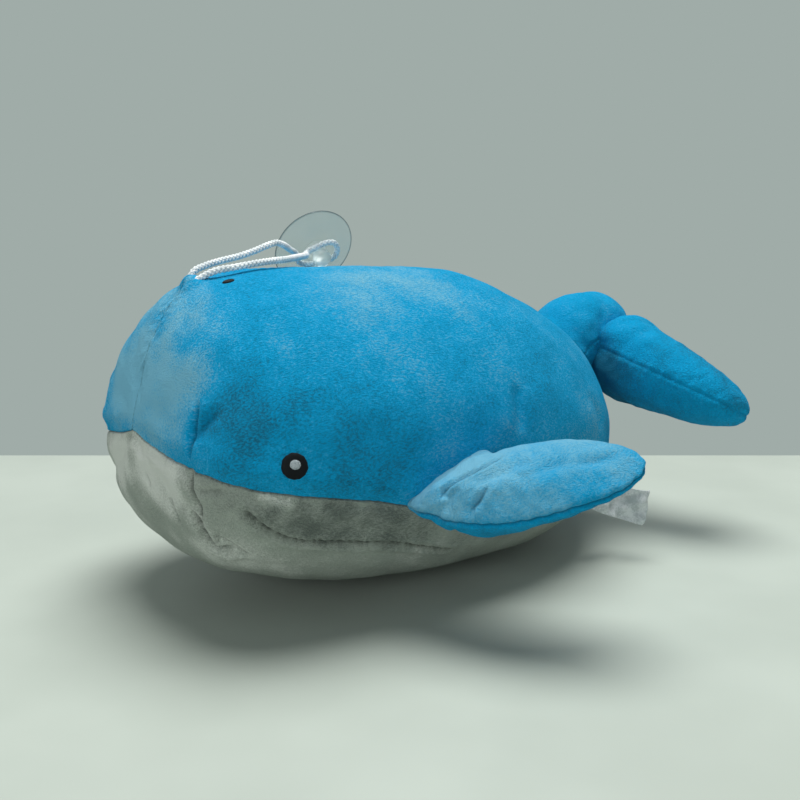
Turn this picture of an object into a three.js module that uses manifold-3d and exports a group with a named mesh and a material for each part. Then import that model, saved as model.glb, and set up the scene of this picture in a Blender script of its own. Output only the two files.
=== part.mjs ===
// A stuffed plush whale that rests on its belly, with a hanging cord and a suction cup on its head.
//
// The whale faces -X, its left side is -Y and up is +Z. The origin is the middle of the flat on
// which the belly rests. All sizes are in millimetres.
//
// The torso is a cushion of stuffing inside three sewn panels: two blue back panels that meet along
// the crown, and one grey belly panel. The flippers, the tail stem and the flukes are pillows of
// their own, each an upper and a lower skin round a filling. Every pillow has a rounded root that
// sits in a hollow of what carries it and turns there.

import * as THREE from "three";
import { mergeVertices } from "three/addons/utils/BufferGeometryUtils.js";
import Module from "manifold-3d";

const wasm = await Module();
wasm.setup();

const vec = (x, y, z) => new THREE.Vector3(x, y, z);
const degrees = THREE.MathUtils.degToRad;
const QUARTER_TURN = Math.PI / 2;

// Cloth and the play between sewn pieces
const CLEARANCE = 0.3;
const SKIN = 2.5; // plush cloth with its pile
const LIMB_SKIN = 2;

// Torso, its three outlines
const SNOUT_REACH = 155; // forward from the origin to where the three panels meet
const RUMP_REACH = 124; // back from the origin to the rump
const CROWN_HEIGHT = 159;
const CROWN_FORWARD = 26; // where the crown is highest, forward from the origin
const HALF_WIDTH = 92;
const WIDEST_FORWARD = 20;
const SNOUT_HEIGHT = 88;
const FLANK_HEIGHT = 72; // height of the widest place
const RUMP_HEIGHT = 65;
const SNOUT_LEAN = 14; // how far the chin bulges past the snout seam, and the brow falls back
const FOREHEAD_ROUND = 76; // how steeply the forehead leaves the snout seam
const CHIN_ROUND = 65;
const CHEEK_ROUND = 70;
const RUMP_TOP_ROUND = 41;
const RUMP_SIDE_ROUND = 59;
const RUMP_UNDER_ROUND = 64;
const BROW_PULL = 28; // how far behind the snout the forehead turns into the crown
const CHEEK_PULL = 11;
const CHIN_PULL = 53;
const CROWN_PULL = 87; // how far the crown runs on level behind its highest place
const FLANK_PULL = 78;
const KEEL_PULL = 65;
const REST_DEPTH = 0.5; // how much of the belly the table flattens
const UPPER_FULLNESS = 1.95; // section exponents: 2 is an ellipse, more is boxier
const LOWER_FULLNESS = 2.2;

// The seam between back and belly: its angle round the section, in degrees from the crown, at equal
// steps from snout to rump
const BELLY_SEAM_ANGLES = [116, 96, 95, 98, 107, 111, 115, 116, 110];

// Flippers
const FLIPPER_AT = { t: 0.46, angle: 94 };
const FLIPPER_RAKE = 24; // how much the root rises towards the tail, in degrees
const FLIPPER_DROOP = 4; // how far below the flank's normal the blade points
// root and rootChord are the half height and half width of the root, length is from hinge to tip,
// swell and loft widen and thicken the middle, taper and narrowing thin and narrow the tip
const FLIPPER = {
  root: 5.5,
  rootChord: 24,
  length: 64,
  swell: 11,
  loft: 6,
  taper: 0.15,
  narrowing: 0.1,
  sweep: 44,
  fullness: 2.5,
};

// Tail
const TAIL_AT = 0.855; // share of the way from snout to rump
const TAIL_BEND = 12; // how far the tail bends up or down
const TAIL_STEM = {
  root: 24,
  rootChord: 22,
  length: 45,
  swell: 0,
  loft: 0,
  taper: 0.05,
  narrowing: 0,
  sweep: 0,
  fullness: 2,
};
const TAIL_CURL = 38; // radius of the stem's curl
const FLUKE_AT = 37.5; // along the stem from its hinge
const FLUKE_PITCH = -22;
const FLUKE_DROOP = 12.5;
const FLUKE_LOWER = 16; // how far the fluke's root lies below the stem's middle
const FLUKE = {
  root: 23,
  rootChord: 25,
  length: 70,
  swell: 5,
  loft: 1,
  taper: 0.5,
  narrowing: 0.3,
  sweep: 27,
  fullness: 2.2,
};
const FLUKE_FLAP = 18;

// Face
const EYE_AT = { t: 0.31, angle: 85.5 };
const EYE_RADIUS = 5.6;
const GLINT_RADIUS = 2.6;
const BLOWHOLE_AT = { t: 0.29, angle: 13.5 };
const BLOWHOLE_HALF_LENGTH = 3.6;
const BLOWHOLE_HALF_WIDTH = 2;
const THREAD_HEIGHT = 1; // how high the embroidery stands

// Hanging loop and suction cup
const CORD_DIAMETER = 3;
const CORD_SIDES = 8;
const LOOP_AT = 0.245; // share of the way from snout to rump
const LOOP_SPREAD = 2.2; // from the crown seam to each end of the cord
// The cord's route over the head, round the cup's neck and back, from the highest place of the crown
const CORD_ROUTE = [
  [-89.5, -6.5, -2.1],
  [-80, -10.5, -0.5],
  [-70, -10.6, 0.9],
  [-60, -8, 1.7],
  [-50, -3.6, 2.1],
  [-41.5, 2.4, 2.6],
  [-34, 9.6, 2.8],
  [-27.5, 17.6, 2.8],
  [-21.5, 26, 2.6],
  [-13.9, 36.8, 4.3],
  [-9.5, 35.2, 6.5],
  [-4.7, 33.7, 8.7],
  [0.3, 33.4, 8.6],
  [3.4, 34.9, 5.5],
  [3.1, 37.2, 1.5],
  [-0.9, 38.8, -1],
  [-6.3, 39.6, -1.7],
  [-12.2, 40.5, -2.6],
  [-17.6, 40.4, -1.1],
  [-20.5, 37.5, 3.1],
  [-26.5, 32.5, 5.1],
  [-31.5, 26.5, 6.3],
  [-36, 20.8, 7.3],
  [-40.5, 16.6, 8.5],
  [-46, 13.4, 9.5],
  [-52.5, 11.2, 8.2],
  [-60.5, 9.6, 5.7],
  [-69.5, 8.4, 3.4],
  [-79, 7, 1.7],
  [-88, 5, -0.3],
  [-94.5, 3.2, -2.1],
];
const CUP_RADIUS = 22.5;
const CUP_DEPTH = 3.5;
const CUP_WALL = 1.2;
const CUP_RIM = 0.4;
const CUP_SIDES = 28;
const NECK_RADIUS = 3;
const NECK_HEIGHT = 5;
const KNOB_RADIUS = 4.8;
const KNOB_HEIGHT = 5;
const CUP_CENTRE = [-6.6, 43, 5.9]; // from the highest place of the crown
const CUP_AXIS = [-0.06, -0.873, -0.484]; // from the disc to the knob

// Care label, blank
const LABEL_LENGTH = 40;
const LABEL_WIDTH = 20;
const LABEL_THICKNESS = 0.8;
const LABEL_AT = 0.69; // share of the way from snout to rump
const LABEL_REACH = 22; // how far its end stands off the flank
const LABEL_SAG = 7;
const LABEL_TAUT = 0.96; // span from end to end over length
const LABEL_STEPS = 8;

// Colours
const COLOURS = {
  blue: 0x1e90cf,
  grey: 0xa9aea8,
  white: 0xe9edef,
  black: 0x16181c,
  stuffing: 0xf2f2ee,
  clear: 0xcfe0e2,
};

const FINISHES = {
  blue_plush: new THREE.MeshStandardMaterial({ color: COLOURS.blue, roughness: 0.95 }),
  grey_plush: new THREE.MeshStandardMaterial({ color: COLOURS.grey, roughness: 0.95 }),
  stuffing: new THREE.MeshStandardMaterial({ color: COLOURS.stuffing, roughness: 1 }),
  black_thread: new THREE.MeshStandardMaterial({ color: COLOURS.black, roughness: 0.6 }),
  white_thread: new THREE.MeshStandardMaterial({ color: COLOURS.white, roughness: 0.7 }),
  clear_vinyl: new THREE.MeshStandardMaterial({ color: COLOURS.clear, roughness: 0.15 }),
};

// Solids from grids of points

// Joins the triangles of a grid whose points may coincide, as at a pole, and drops the flat ones.
function weldedGrid(rows, cols, pointAt) {
  const points = [];
  const twins = [];
  const known = new Map();
  const ids = [];
  for (let i = 0; i <= rows; i++) {
    for (let j = 0; j <= cols; j++) {
      const [outer, inner] = pointAt(i / rows, j / cols);
      const key = outer.toArray().map((x) => Math.round(x * 1000)).join();
      if (!known.has(key)) {
        known.set(key, points.length);
        points.push(outer);
        twins.push(inner);
      }
      ids.push(known.get(key));
    }
  }
  const triangles = [];
  const keep = (a, b, c) => {
    if (a !== b && b !== c && c !== a) triangles.push([a, b, c]);
  };
  for (let i = 0; i < rows; i++) {
    for (let j = 0; j < cols; j++) {
      const at = i * (cols + 1) + j;
      const [a, b, c, d] = [ids[at], ids[at + 1], ids[at + cols + 2], ids[at + cols + 1]];
      keep(a, b, c);
      keep(a, c, d);
    }
  }
  return { points, twins, triangles };
}

function geometryOf(points, triangles) {
  const geometry = new THREE.BufferGeometry();
  const numbers = points.flatMap((point) => point.toArray());
  geometry.setAttribute("position", new THREE.Float32BufferAttribute(numbers, 3));
  geometry.setIndex(triangles.flat());
  return geometry;
}

// A sheet of cloth: pointAt(u, v) gives its outer and its inner point, and walls close its edges.
function sheetSolid(rows, cols, pointAt) {
  const { points, twins, triangles } = weldedGrid(rows, cols, pointAt);
  const count = points.length;
  const edges = new Set(triangles.flatMap(([a, b, c]) => [`${a},${b}`, `${b},${c}`, `${c},${a}`]));
  const walls = [];
  for (const edge of edges) {
    const [a, b] = edge.split(",").map(Number);
    if (!edges.has(`${b},${a}`)) walls.push([b, a, a + count], [b, a + count, b + count]);
  }
  const back = triangles.map(([a, b, c]) => [a + count, c + count, b + count]);
  return outward(geometryOf([...points, ...twins], [...triangles, ...back, ...walls]));
}

// A closed lump whose grid meets itself all round.
function lumpSolid(rows, cols, pointAt) {
  const { points, triangles } = weldedGrid(rows, cols, (u, v) => [pointAt(u, v), null]);
  return outward(geometryOf(points, triangles));
}

// Turns the faces round if they point in.
function outward(geometry) {
  const position = geometry.getAttribute("position");
  const index = geometry.getIndex().array;
  const at = (k) => new THREE.Vector3().fromBufferAttribute(position, index[k]);
  let volume = 0;
  for (let k = 0; k < index.length; k += 3) volume += at(k).dot(at(k + 1).cross(at(k + 2)));
  if (volume < 0) {
    for (let k = 0; k < index.length; k += 3) [index[k], index[k + 1]] = [index[k + 1], index[k]];
  }
  return geometry;
}

function toManifold(geometry) {
  const bare = geometry.clone();
  bare.deleteAttribute("normal");
  bare.deleteAttribute("uv");
  const merged = mergeVertices(bare, 1e-4);
  return new wasm.Manifold(
    new wasm.Mesh({
      numProp: 3,
      vertProperties: merged.getAttribute("position").array,
      triVerts: new Uint32Array(merged.getIndex().array),
    }),
  );
}

function fromManifold(solid) {
  const mesh = solid.getMesh();
  const geometry = new THREE.BufferGeometry();
  const points = [];
  for (let k = 0; k < mesh.numVert; k++) {
    const at = k * mesh.numProp;
    points.push(...mesh.vertProperties.slice(at, at + 3));
  }
  geometry.setAttribute("position", new THREE.Float32BufferAttribute(points, 3));
  geometry.setIndex(Array.from(mesh.triVerts));
  return geometry;
}

// What is left of a solid once the tools are taken out of it.
function cut(geometry, tools) {
  let solid = toManifold(geometry);
  for (const tool of tools) solid = solid.subtract(toManifold(tool));
  return fromManifold(solid);
}

// Torso

// A smooth line of two arcs that meet at its middle point.
function twoArcs(start, pullOut, pullIn, middle, pushOut, pushIn, end) {
  const front = new THREE.CubicBezierCurve3(start, pullOut, pullIn, middle);
  const rear = new THREE.CubicBezierCurve3(middle, pushOut, pushIn, end);
  return (t) => (t < 0.5 ? front.getPoint(2 * t) : rear.getPoint(2 * t - 1));
}

const snout = vec(-SNOUT_REACH, 0, SNOUT_HEIGHT);
const rump = vec(RUMP_REACH, 0, RUMP_HEIGHT);

const crownLine = twoArcs(
  snout,
  vec(-SNOUT_REACH + SNOUT_LEAN, 0, SNOUT_HEIGHT + FOREHEAD_ROUND),
  vec(-SNOUT_REACH + BROW_PULL, 0, CROWN_HEIGHT),
  vec(-CROWN_FORWARD, 0, CROWN_HEIGHT),
  vec(-CROWN_FORWARD + CROWN_PULL, 0, CROWN_HEIGHT),
  vec(RUMP_REACH, 0, RUMP_HEIGHT + RUMP_TOP_ROUND),
  rump,
);
const flankLine = twoArcs(
  snout,
  vec(-SNOUT_REACH, -CHEEK_ROUND, SNOUT_HEIGHT),
  vec(-SNOUT_REACH + CHEEK_PULL, -HALF_WIDTH, FLANK_HEIGHT),
  vec(-WIDEST_FORWARD, -HALF_WIDTH, FLANK_HEIGHT),
  vec(-WIDEST_FORWARD + FLANK_PULL, -HALF_WIDTH, FLANK_HEIGHT),
  vec(RUMP_REACH, -RUMP_SIDE_ROUND, RUMP_HEIGHT),
  rump,
);
const keelLine = twoArcs(
  snout,
  vec(-SNOUT_REACH - SNOUT_LEAN, 0, SNOUT_HEIGHT - CHIN_ROUND),
  vec(-SNOUT_REACH + CHIN_PULL, 0, -REST_DEPTH),
  vec(0, 0, -REST_DEPTH),
  vec(KEEL_PULL, 0, -REST_DEPTH),
  vec(RUMP_REACH, 0, RUMP_HEIGHT - RUMP_UNDER_ROUND),
  rump,
);

// The outer surface at a share of the way from snout to rump and an angle from the crown, which
// grows towards the whale's left.
function torsoPoint(t, angle) {
  const side = flankLine(t);
  const up = Math.cos(angle) >= 0;
  const pole = up ? crownLine(t) : keelLine(t);
  const power = 2 / (up ? UPPER_FULLNESS : LOWER_FULLNESS);
  const lift = Math.abs(Math.cos(angle)) ** power;
  const out = Math.sign(Math.sin(angle)) * Math.abs(Math.sin(angle)) ** power;
  return vec(
    side.x + (pole.x - side.x) * lift,
    side.y * out,
    side.z + (pole.z - side.z) * lift,
  );
}

const PROBE = 1e-3;

function torsoFrame(t, angle) {
  const along = torsoPoint(t + PROBE, angle).sub(torsoPoint(t - PROBE, angle)).divideScalar(2 * PROBE);
  const round = torsoPoint(t, angle + PROBE).sub(torsoPoint(t, angle - PROBE)).divideScalar(2 * PROBE);
  return { along, round, normal: round.clone().cross(along).normalize() };
}

function torsoBelow(t, angle, depth) {
  return torsoPoint(t, angle).addScaledVector(torsoFrame(t, angle).normal, -depth);
}

function bellySeamAngle(t) {
  const steps = BELLY_SEAM_ANGLES.length - 1;
  const at = Math.min(t * steps, steps - 1e-9);
  const k = Math.floor(at);
  const value = (n) => BELLY_SEAM_ANGLES[Math.min(Math.max(n, 0), steps)];
  const [a, b, c, d] = [value(k - 1), value(k), value(k + 1), value(k + 2)];
  const f = at - k;
  const smooth = b + 0.5 * f * (c - a + f * (2 * a - 5 * b + 4 * c - d + f * (3 * (b - c) + d - a)));
  return degrees(smooth);
}

const PANEL_ENDS = 0.004; // share of the length left open at snout and rump, where the seams meet
const PANEL_STEPS = 24;
const BACK_STEPS = 8;
const BELLY_STEPS = 12;

const panelShare = (u) => PANEL_ENDS + u * (1 - 2 * PANEL_ENDS);

// A panel between two seams, each given by its angle at a share of the length.
function torsoPanel(fromAngle, toAngle, cols) {
  return sheetSolid(PANEL_STEPS, cols, (u, v) => {
    const t = panelShare(u);
    const from = fromAngle(t) + CLEARANCE / 2 / torsoFrame(t, fromAngle(t)).round.length();
    const to = toAngle(t) - CLEARANCE / 2 / torsoFrame(t, toAngle(t)).round.length();
    const angle = from + v * (to - from);
    return [torsoPoint(t, angle), torsoBelow(t, angle, SKIN)];
  });
}

// The stuffing follows the panels' own steps, so their facets lie side by side.
function torsoFilling() {
  const depth = SKIN + CLEARANCE;
  const cols = 2 * BACK_STEPS + BELLY_STEPS;
  return lumpSolid(PANEL_STEPS + 2, cols, (u, v) => {
    const row = Math.round(u * (PANEL_STEPS + 2));
    if (row === 0) return vec(snout.x + depth, 0, snout.z);
    if (row === PANEL_STEPS + 2) return vec(rump.x - depth, 0, rump.z);
    const t = panelShare((row - 1) / PANEL_STEPS);
    const seam = bellySeamAngle(t);
    const col = Math.round(v * cols);
    let angle = (seam * col) / BACK_STEPS;
    if (col > BACK_STEPS) angle = seam + (2 * (Math.PI - seam) * (col - BACK_STEPS)) / BELLY_STEPS;
    if (col > BACK_STEPS + BELLY_STEPS) angle = 2 * Math.PI - (seam * (cols - col)) / BACK_STEPS;
    if (col === cols) angle = 0;
    return torsoBelow(t, angle, depth);
  });
}

// Limbs
//
// A limb lies along its own +X from a hinge along its own Y. Its root is turned round that hinge,
// and its blade swells, tapers and sweeps towards +Y.

const ROOT_STEPS = 3;
const SOCKET_STEPS = 8;
const SOCKET_CLEARANCE = 0.6;
const BLADE_STEPS = 8;
const ROUND_STEPS = 16;
const TIP_POWER = 7; // more makes the tip blunter
const SWEEP_POWER = 1.2; // more keeps the root straighter

function limbLump(limb, inset, rootSteps = ROOT_STEPS) {
  const root = limb.root - inset;
  const chord = limb.rootChord - inset;
  const length = limb.length - inset;
  const rows = rootSteps + BLADE_STEPS;
  const bulged = (x) => Math.sign(x) * Math.abs(x) ** (2 / limb.fullness);
  return lumpSolid(rows, ROUND_STEPS, (u, v) => {
    const row = Math.round(u * rows);
    const across = bulged(Math.cos(2 * Math.PI * v));
    const up = bulged(Math.sin(2 * Math.PI * v));
    if (row <= rootSteps) {
      const turn = (QUARTER_TURN * row) / rootSteps;
      return vec(-root * Math.abs(up) * Math.cos(turn), chord * across, root * up * Math.sin(turn));
    }
    const out = Math.sin((QUARTER_TURN * (row - rootSteps)) / BLADE_STEPS);
    const cap = Math.sqrt(Math.max(0, 1 - out ** TIP_POWER));
    const half = (chord + limb.swell * Math.sin(Math.PI * out)) * (1 - limb.narrowing * out) * cap;
    const thick = (root + limb.loft * Math.sin(Math.PI * out)) * (1 - limb.taper * out) * cap;
    return vec(length * out, half * across + limb.sweep * out ** SWEEP_POWER, thick * up);
  });
}

// The three pieces of a limb: an upper and a lower skin, parted at the rim seam, and the filling.
function limbPieces(limb) {
  const shell = toManifold(limbLump(limb, 0)).subtract(toManifold(limbLump(limb, LIMB_SKIN)));
  return {
    upper_skin: fromManifold(shell.trimByPlane([0, 0, 1], CLEARANCE / 2)),
    lower_skin: fromManifold(shell.trimByPlane([0, 0, -1], CLEARANCE / 2)),
    fill: limbLump(limb, LIMB_SKIN + CLEARANCE),
  };
}

function placed(geometry, frame) {
  return geometry.clone().applyMatrix4(frame);
}

function mirrored(geometry) {
  return outward(geometry.clone().scale(1, -1, 1));
}

function frameOf(origin, out, chord) {
  const up = out.clone().cross(chord);
  return new THREE.Matrix4().makeBasis(out, chord, up).setPosition(origin);
}

const model = new THREE.Group();

function add(name, geometry, material) {
  const mesh = new THREE.Mesh(geometry, material);
  mesh.name = name;
  model.add(mesh);
  return mesh;
}

// Tail stem

const tailSeat = torsoPoint(TAIL_AT, 0);
const tailOut = torsoFrame(TAIL_AT, 0).normal;
const tailStandoff = TAIL_STEM.root * Math.sin(degrees(TAIL_BEND)) + CLEARANCE;
const tailHinge = tailSeat.clone().addScaledVector(tailOut, tailStandoff);
const stemFrame = frameOf(tailHinge, tailOut, vec(0, 1, 0));

// The stem curls down past its hinge, round a level line below it.
function curledPoint(point) {
  if (point.x <= 0) return point;
  const turn = point.x / TAIL_CURL;
  const reach = TAIL_CURL + point.z;
  return vec(reach * Math.sin(turn), point.y, reach * Math.cos(turn) - TAIL_CURL);
}

function curled(geometry) {
  const bent = geometry.clone();
  const position = bent.getAttribute("position");
  for (let k = 0; k < position.count; k++) {
    const point = curledPoint(new THREE.Vector3().fromBufferAttribute(position, k));
    position.setXYZ(k, point.x, point.y, point.z);
  }
  return bent;
}

// Flukes

const flukeReach = TAIL_STEM.rootChord + FLUKE.root * Math.sin(degrees(FLUKE_FLAP)) + CLEARANCE;
const flukeHinge = curledPoint(vec(FLUKE_AT, -flukeReach, -FLUKE_LOWER)).applyMatrix4(stemFrame);
const flukeChord = vec(Math.cos(degrees(FLUKE_PITCH)), 0, Math.sin(degrees(FLUKE_PITCH)));
const flukeLevel = vec(0, -1, 0);
const flukeUp = flukeLevel.clone().cross(flukeChord);
const flukeOut = flukeLevel
  .clone()
  .multiplyScalar(Math.cos(degrees(FLUKE_DROOP)))
  .addScaledVector(flukeUp, -Math.sin(degrees(FLUKE_DROOP)));
const flukeFrame = frameOf(flukeHinge, flukeOut, flukeChord);

// Flippers

const flipperAngle = degrees(FLIPPER_AT.angle);
const flipperSeat = torsoPoint(FLIPPER_AT.t, flipperAngle);
const flank = torsoFrame(FLIPPER_AT.t, flipperAngle);
const flipperChord = flank.along
  .clone()
  .normalize()
  .applyAxisAngle(flank.normal, degrees(FLIPPER_RAKE));
const flipperUp = flank.normal.clone().cross(flipperChord);
const flipperHinge = flipperSeat.clone().addScaledVector(flank.normal, FLIPPER.root + CLEARANCE);
const flipperOut = flank.normal
  .clone()
  .multiplyScalar(Math.cos(degrees(FLIPPER_DROOP)))
  .addScaledVector(flipperUp, -Math.sin(degrees(FLIPPER_DROOP)));
const flipperFrame = frameOf(flipperHinge, flipperOut, flipperChord);

// Body

const tailSocket = placed(limbLump(TAIL_STEM, -SOCKET_CLEARANCE, SOCKET_STEPS), stemFrame);
const backLeft = torsoPanel(() => 0, bellySeamAngle, BACK_STEPS);
const backRight = torsoPanel((t) => -bellySeamAngle(t), () => 0, BACK_STEPS);
const belly = torsoPanel(bellySeamAngle, (t) => 2 * Math.PI - bellySeamAngle(t), BELLY_STEPS);
add("back_panel_left", cut(backLeft, [tailSocket]), FINISHES.blue_plush);
add("back_panel_right", cut(backRight, [tailSocket]), FINISHES.blue_plush);
add("belly_panel", fromManifold(toManifold(belly).trimByPlane([0, 0, 1], 0)), FINISHES.grey_plush);
add("body_fill", cut(torsoFilling(), [tailSocket]), FINISHES.stuffing);

for (const [piece, geometry] of Object.entries(limbPieces(FLIPPER))) {
  const finish = piece === "fill" ? FINISHES.stuffing : FINISHES.blue_plush;
  const left = placed(geometry, flipperFrame);
  add(`flipper_left_${piece}`, left, finish);
  add(`flipper_right_${piece}`, mirrored(left), finish);
}

const flukeSocket = placed(limbLump(FLUKE, -SOCKET_CLEARANCE, SOCKET_STEPS), flukeFrame);
for (const [piece, geometry] of Object.entries(limbPieces(TAIL_STEM))) {
  const finish = piece === "fill" ? FINISHES.stuffing : FINISHES.blue_plush;
  const stem = placed(curled(geometry), stemFrame);
  add(`tail_stem_${piece}`, cut(stem, [flukeSocket, mirrored(flukeSocket)]), finish);
}
for (const [piece, geometry] of Object.entries(limbPieces(FLUKE))) {
  const finish = piece === "fill" ? FINISHES.stuffing : FINISHES.blue_plush;
  const left = placed(geometry, flukeFrame);
  add(`fluke_left_${piece}`, left, finish);
  add(`fluke_right_${piece}`, mirrored(left), finish);
}

// Face

const PATCH_RINGS = 3;
const PATCH_SIDES = 16;

// A flat patch that follows the torso: an ellipse of thread round a place, lifted off the cloth.
function surfacePatch(place, halfAlong, halfRound, lift, thickness) {
  const angle = degrees(place.angle);
  const { along, round } = torsoFrame(place.t, angle);
  return sheetSolid(PATCH_RINGS, PATCH_SIDES, (u, v) => {
    const turn = 2 * Math.PI * v;
    const t = place.t + (halfAlong * u * Math.cos(turn)) / along.length();
    const a = angle + (halfRound * u * Math.sin(turn)) / round.length();
    return [torsoBelow(t, a, -lift - thickness), torsoBelow(t, a, -lift)];
  });
}

const eye = surfacePatch(EYE_AT, EYE_RADIUS, EYE_RADIUS, CLEARANCE, THREAD_HEIGHT);
const glintLift = 2 * CLEARANCE + THREAD_HEIGHT;
const glint = surfacePatch(EYE_AT, GLINT_RADIUS, GLINT_RADIUS, glintLift, THREAD_HEIGHT / 2);
const blowhole = surfacePatch(
  BLOWHOLE_AT,
  BLOWHOLE_HALF_LENGTH,
  BLOWHOLE_HALF_WIDTH,
  CLEARANCE,
  THREAD_HEIGHT,
);
for (const [side, turned] of [["left", (g) => g], ["right", mirrored]]) {
  add(`eye_${side}`, turned(eye), FINISHES.black_thread);
  add(`eye_glint_${side}`, turned(glint), FINISHES.white_thread);
  add(`blowhole_${side}`, turned(blowhole), FINISHES.black_thread);
}

// Suction cup

const crownTop = vec(-CROWN_FORWARD, 0, CROWN_HEIGHT);
const neckTop = CUP_DEPTH + NECK_HEIGHT;
const knobTop = neckTop + KNOB_HEIGHT;
const halfway = CUP_RADIUS / 2;
const cupProfile = [
  [0, CUP_DEPTH - CUP_WALL],
  [halfway, CUP_DEPTH - CUP_WALL - CUP_RIM],
  [CUP_RADIUS - CUP_WALL, CUP_RIM / 2],
  [CUP_RADIUS, 0],
  [CUP_RADIUS, CUP_RIM],
  [halfway, CUP_DEPTH - CUP_RIM / 2],
  [NECK_RADIUS + CUP_WALL, CUP_DEPTH + CUP_RIM / 2],
  [NECK_RADIUS, CUP_DEPTH + CUP_WALL],
  [NECK_RADIUS, neckTop],
  [KNOB_RADIUS, neckTop + CUP_RIM],
  [KNOB_RADIUS, knobTop - CUP_WALL],
  [KNOB_RADIUS - CUP_WALL, knobTop - CUP_RIM / 2],
  [0, knobTop],
].map(([r, h]) => new THREE.Vector2(r, h));
const cupAxis = vec(...CUP_AXIS).normalize();
const cupFrame = new THREE.Matrix4().compose(
  vec(...CUP_CENTRE).add(crownTop),
  new THREE.Quaternion().setFromUnitVectors(vec(0, 1, 0), cupAxis),
  vec(1, 1, 1),
);
const cup = new THREE.LatheGeometry(cupProfile, CUP_SIDES).applyMatrix4(cupFrame);
add("suction_cup", cup, FINISHES.clear_vinyl);

// Hanging cord

const loopHinge = torsoBelow(LOOP_AT, 0, -(CORD_DIAMETER / 2 + 2 * CLEARANCE));
const cordPoints = [
  loopHinge.clone().add(vec(0, -LOOP_SPREAD, 0)),
  ...CORD_ROUTE.map((point) => vec(...point).add(crownTop)),
  loopHinge.clone().add(vec(0, LOOP_SPREAD, 0)),
];
const cordPath = new THREE.CatmullRomCurve3(cordPoints, false, "centripetal");
const cordSection = new THREE.Shape();
cordSection.absarc(0, 0, CORD_DIAMETER / 2, 0, 2 * Math.PI);
const cord = new THREE.ExtrudeGeometry(cordSection, {
  steps: Math.round(cordPath.getLength() / (2 * CORD_DIAMETER)),
  curveSegments: CORD_SIDES,
  extrudePath: cordPath,
});
add("hang_cord", cord, FINISHES.white_thread);

// Care label, sewn into the seam between back and belly behind the left flipper

const labelAngle = bellySeamAngle(LABEL_AT);
const labelFrame = torsoFrame(LABEL_AT, labelAngle);
const labelStart = torsoBelow(LABEL_AT, labelAngle, -2 * CLEARANCE);
const labelWide = labelFrame.along.clone().normalize();
const labelEnd = labelStart
  .clone()
  .addScaledVector(labelFrame.normal, LABEL_REACH)
  .addScaledVector(labelWide, Math.sqrt((LABEL_TAUT * LABEL_LENGTH) ** 2 - LABEL_REACH ** 2));
const labelBend = labelStart.clone().lerp(labelEnd, 0.5).addScaledVector(vec(0, 0, -1), LABEL_SAG);
const labelLine = new THREE.QuadraticBezierCurve3(labelStart, labelBend, labelEnd);
const label = sheetSolid(LABEL_STEPS, 2, (u, v) => {
  const middle = labelLine.getPoint(u);
  const along = labelLine.getTangent(u);
  const wide = vec(0, 0, 1).addScaledVector(along, -along.z).normalize();
  const face = along.clone().cross(wide);
  const edge = middle.addScaledVector(wide, (v - 0.5) * LABEL_WIDTH);
  return [
    edge.clone().addScaledVector(face, LABEL_THICKNESS / 2),
    edge.clone().addScaledVector(face, -LABEL_THICKNESS / 2),
  ];
});
add("care_label", label, FINISHES.white_thread);

export default model;
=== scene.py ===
# %% [markdown]
# # A stuffed plush whale
# The imported model holds every piece of the whale as a plain solid that can move. This lesson builds
# what the eye sees around it: plush cloth with seams and folds, stuffed limbs, a braided cord, a
# clear suction cup and embroidered eyes. Each piece is made where its solid is. All pieces but the
# limbs then ride on a body of the model; the limbs stay where they are made.

# %% The frame
import math

import bpy
import numpy as np
from mathutils import Matrix, Vector
from mathutils.bvhtree import BVHTree


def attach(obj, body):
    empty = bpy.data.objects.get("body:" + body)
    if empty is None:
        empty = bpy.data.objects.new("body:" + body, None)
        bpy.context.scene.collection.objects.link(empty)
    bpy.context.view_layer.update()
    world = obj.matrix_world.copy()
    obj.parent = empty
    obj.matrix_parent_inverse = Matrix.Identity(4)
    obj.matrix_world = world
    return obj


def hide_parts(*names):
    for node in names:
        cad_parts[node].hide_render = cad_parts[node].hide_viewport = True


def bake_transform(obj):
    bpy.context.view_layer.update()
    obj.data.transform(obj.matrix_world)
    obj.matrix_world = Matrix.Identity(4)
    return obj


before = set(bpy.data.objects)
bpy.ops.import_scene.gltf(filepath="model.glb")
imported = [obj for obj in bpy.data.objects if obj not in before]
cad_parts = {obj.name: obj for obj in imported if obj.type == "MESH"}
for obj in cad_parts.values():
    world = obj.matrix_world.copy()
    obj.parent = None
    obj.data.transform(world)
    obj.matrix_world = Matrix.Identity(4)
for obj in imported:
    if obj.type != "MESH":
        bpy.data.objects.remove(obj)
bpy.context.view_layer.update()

# %% [markdown]
# ## Camera
# The photograph looks at the whale from its front left, a little from above. A camera is easiest to
# place by the point that it looks at, its distance, and its two angles round that point.

# %% The camera
AIM = Vector((-0.0065, 0, 0.0852))
DISTANCE = 0.515
AZIMUTH = math.radians(-36.5)  # from the whale's left side towards its snout
ELEVATION = math.radians(10.3)
FIELD = math.radians(45)
SENSOR_WIDTH = 36

backwards = Vector((
    math.sin(AZIMUTH) * math.cos(ELEVATION),
    -math.cos(AZIMUTH) * math.cos(ELEVATION),
    math.sin(ELEVATION),
))
camera = bpy.data.objects.new("camera", bpy.data.cameras.new("camera"))
camera.data.sensor_width = SENSOR_WIDTH
camera.data.lens = SENSOR_WIDTH / 2 / math.tan(FIELD / 2)
camera.data.clip_start = 0.01
camera.location = AIM + backwards * DISTANCE
camera.rotation_euler = (-backwards).to_track_quat("-Z", "Y").to_euler()
bpy.context.scene.collection.objects.link(camera)
bpy.context.scene.camera = camera
print("lens:", round(camera.data.lens, 1), "mm")

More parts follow.
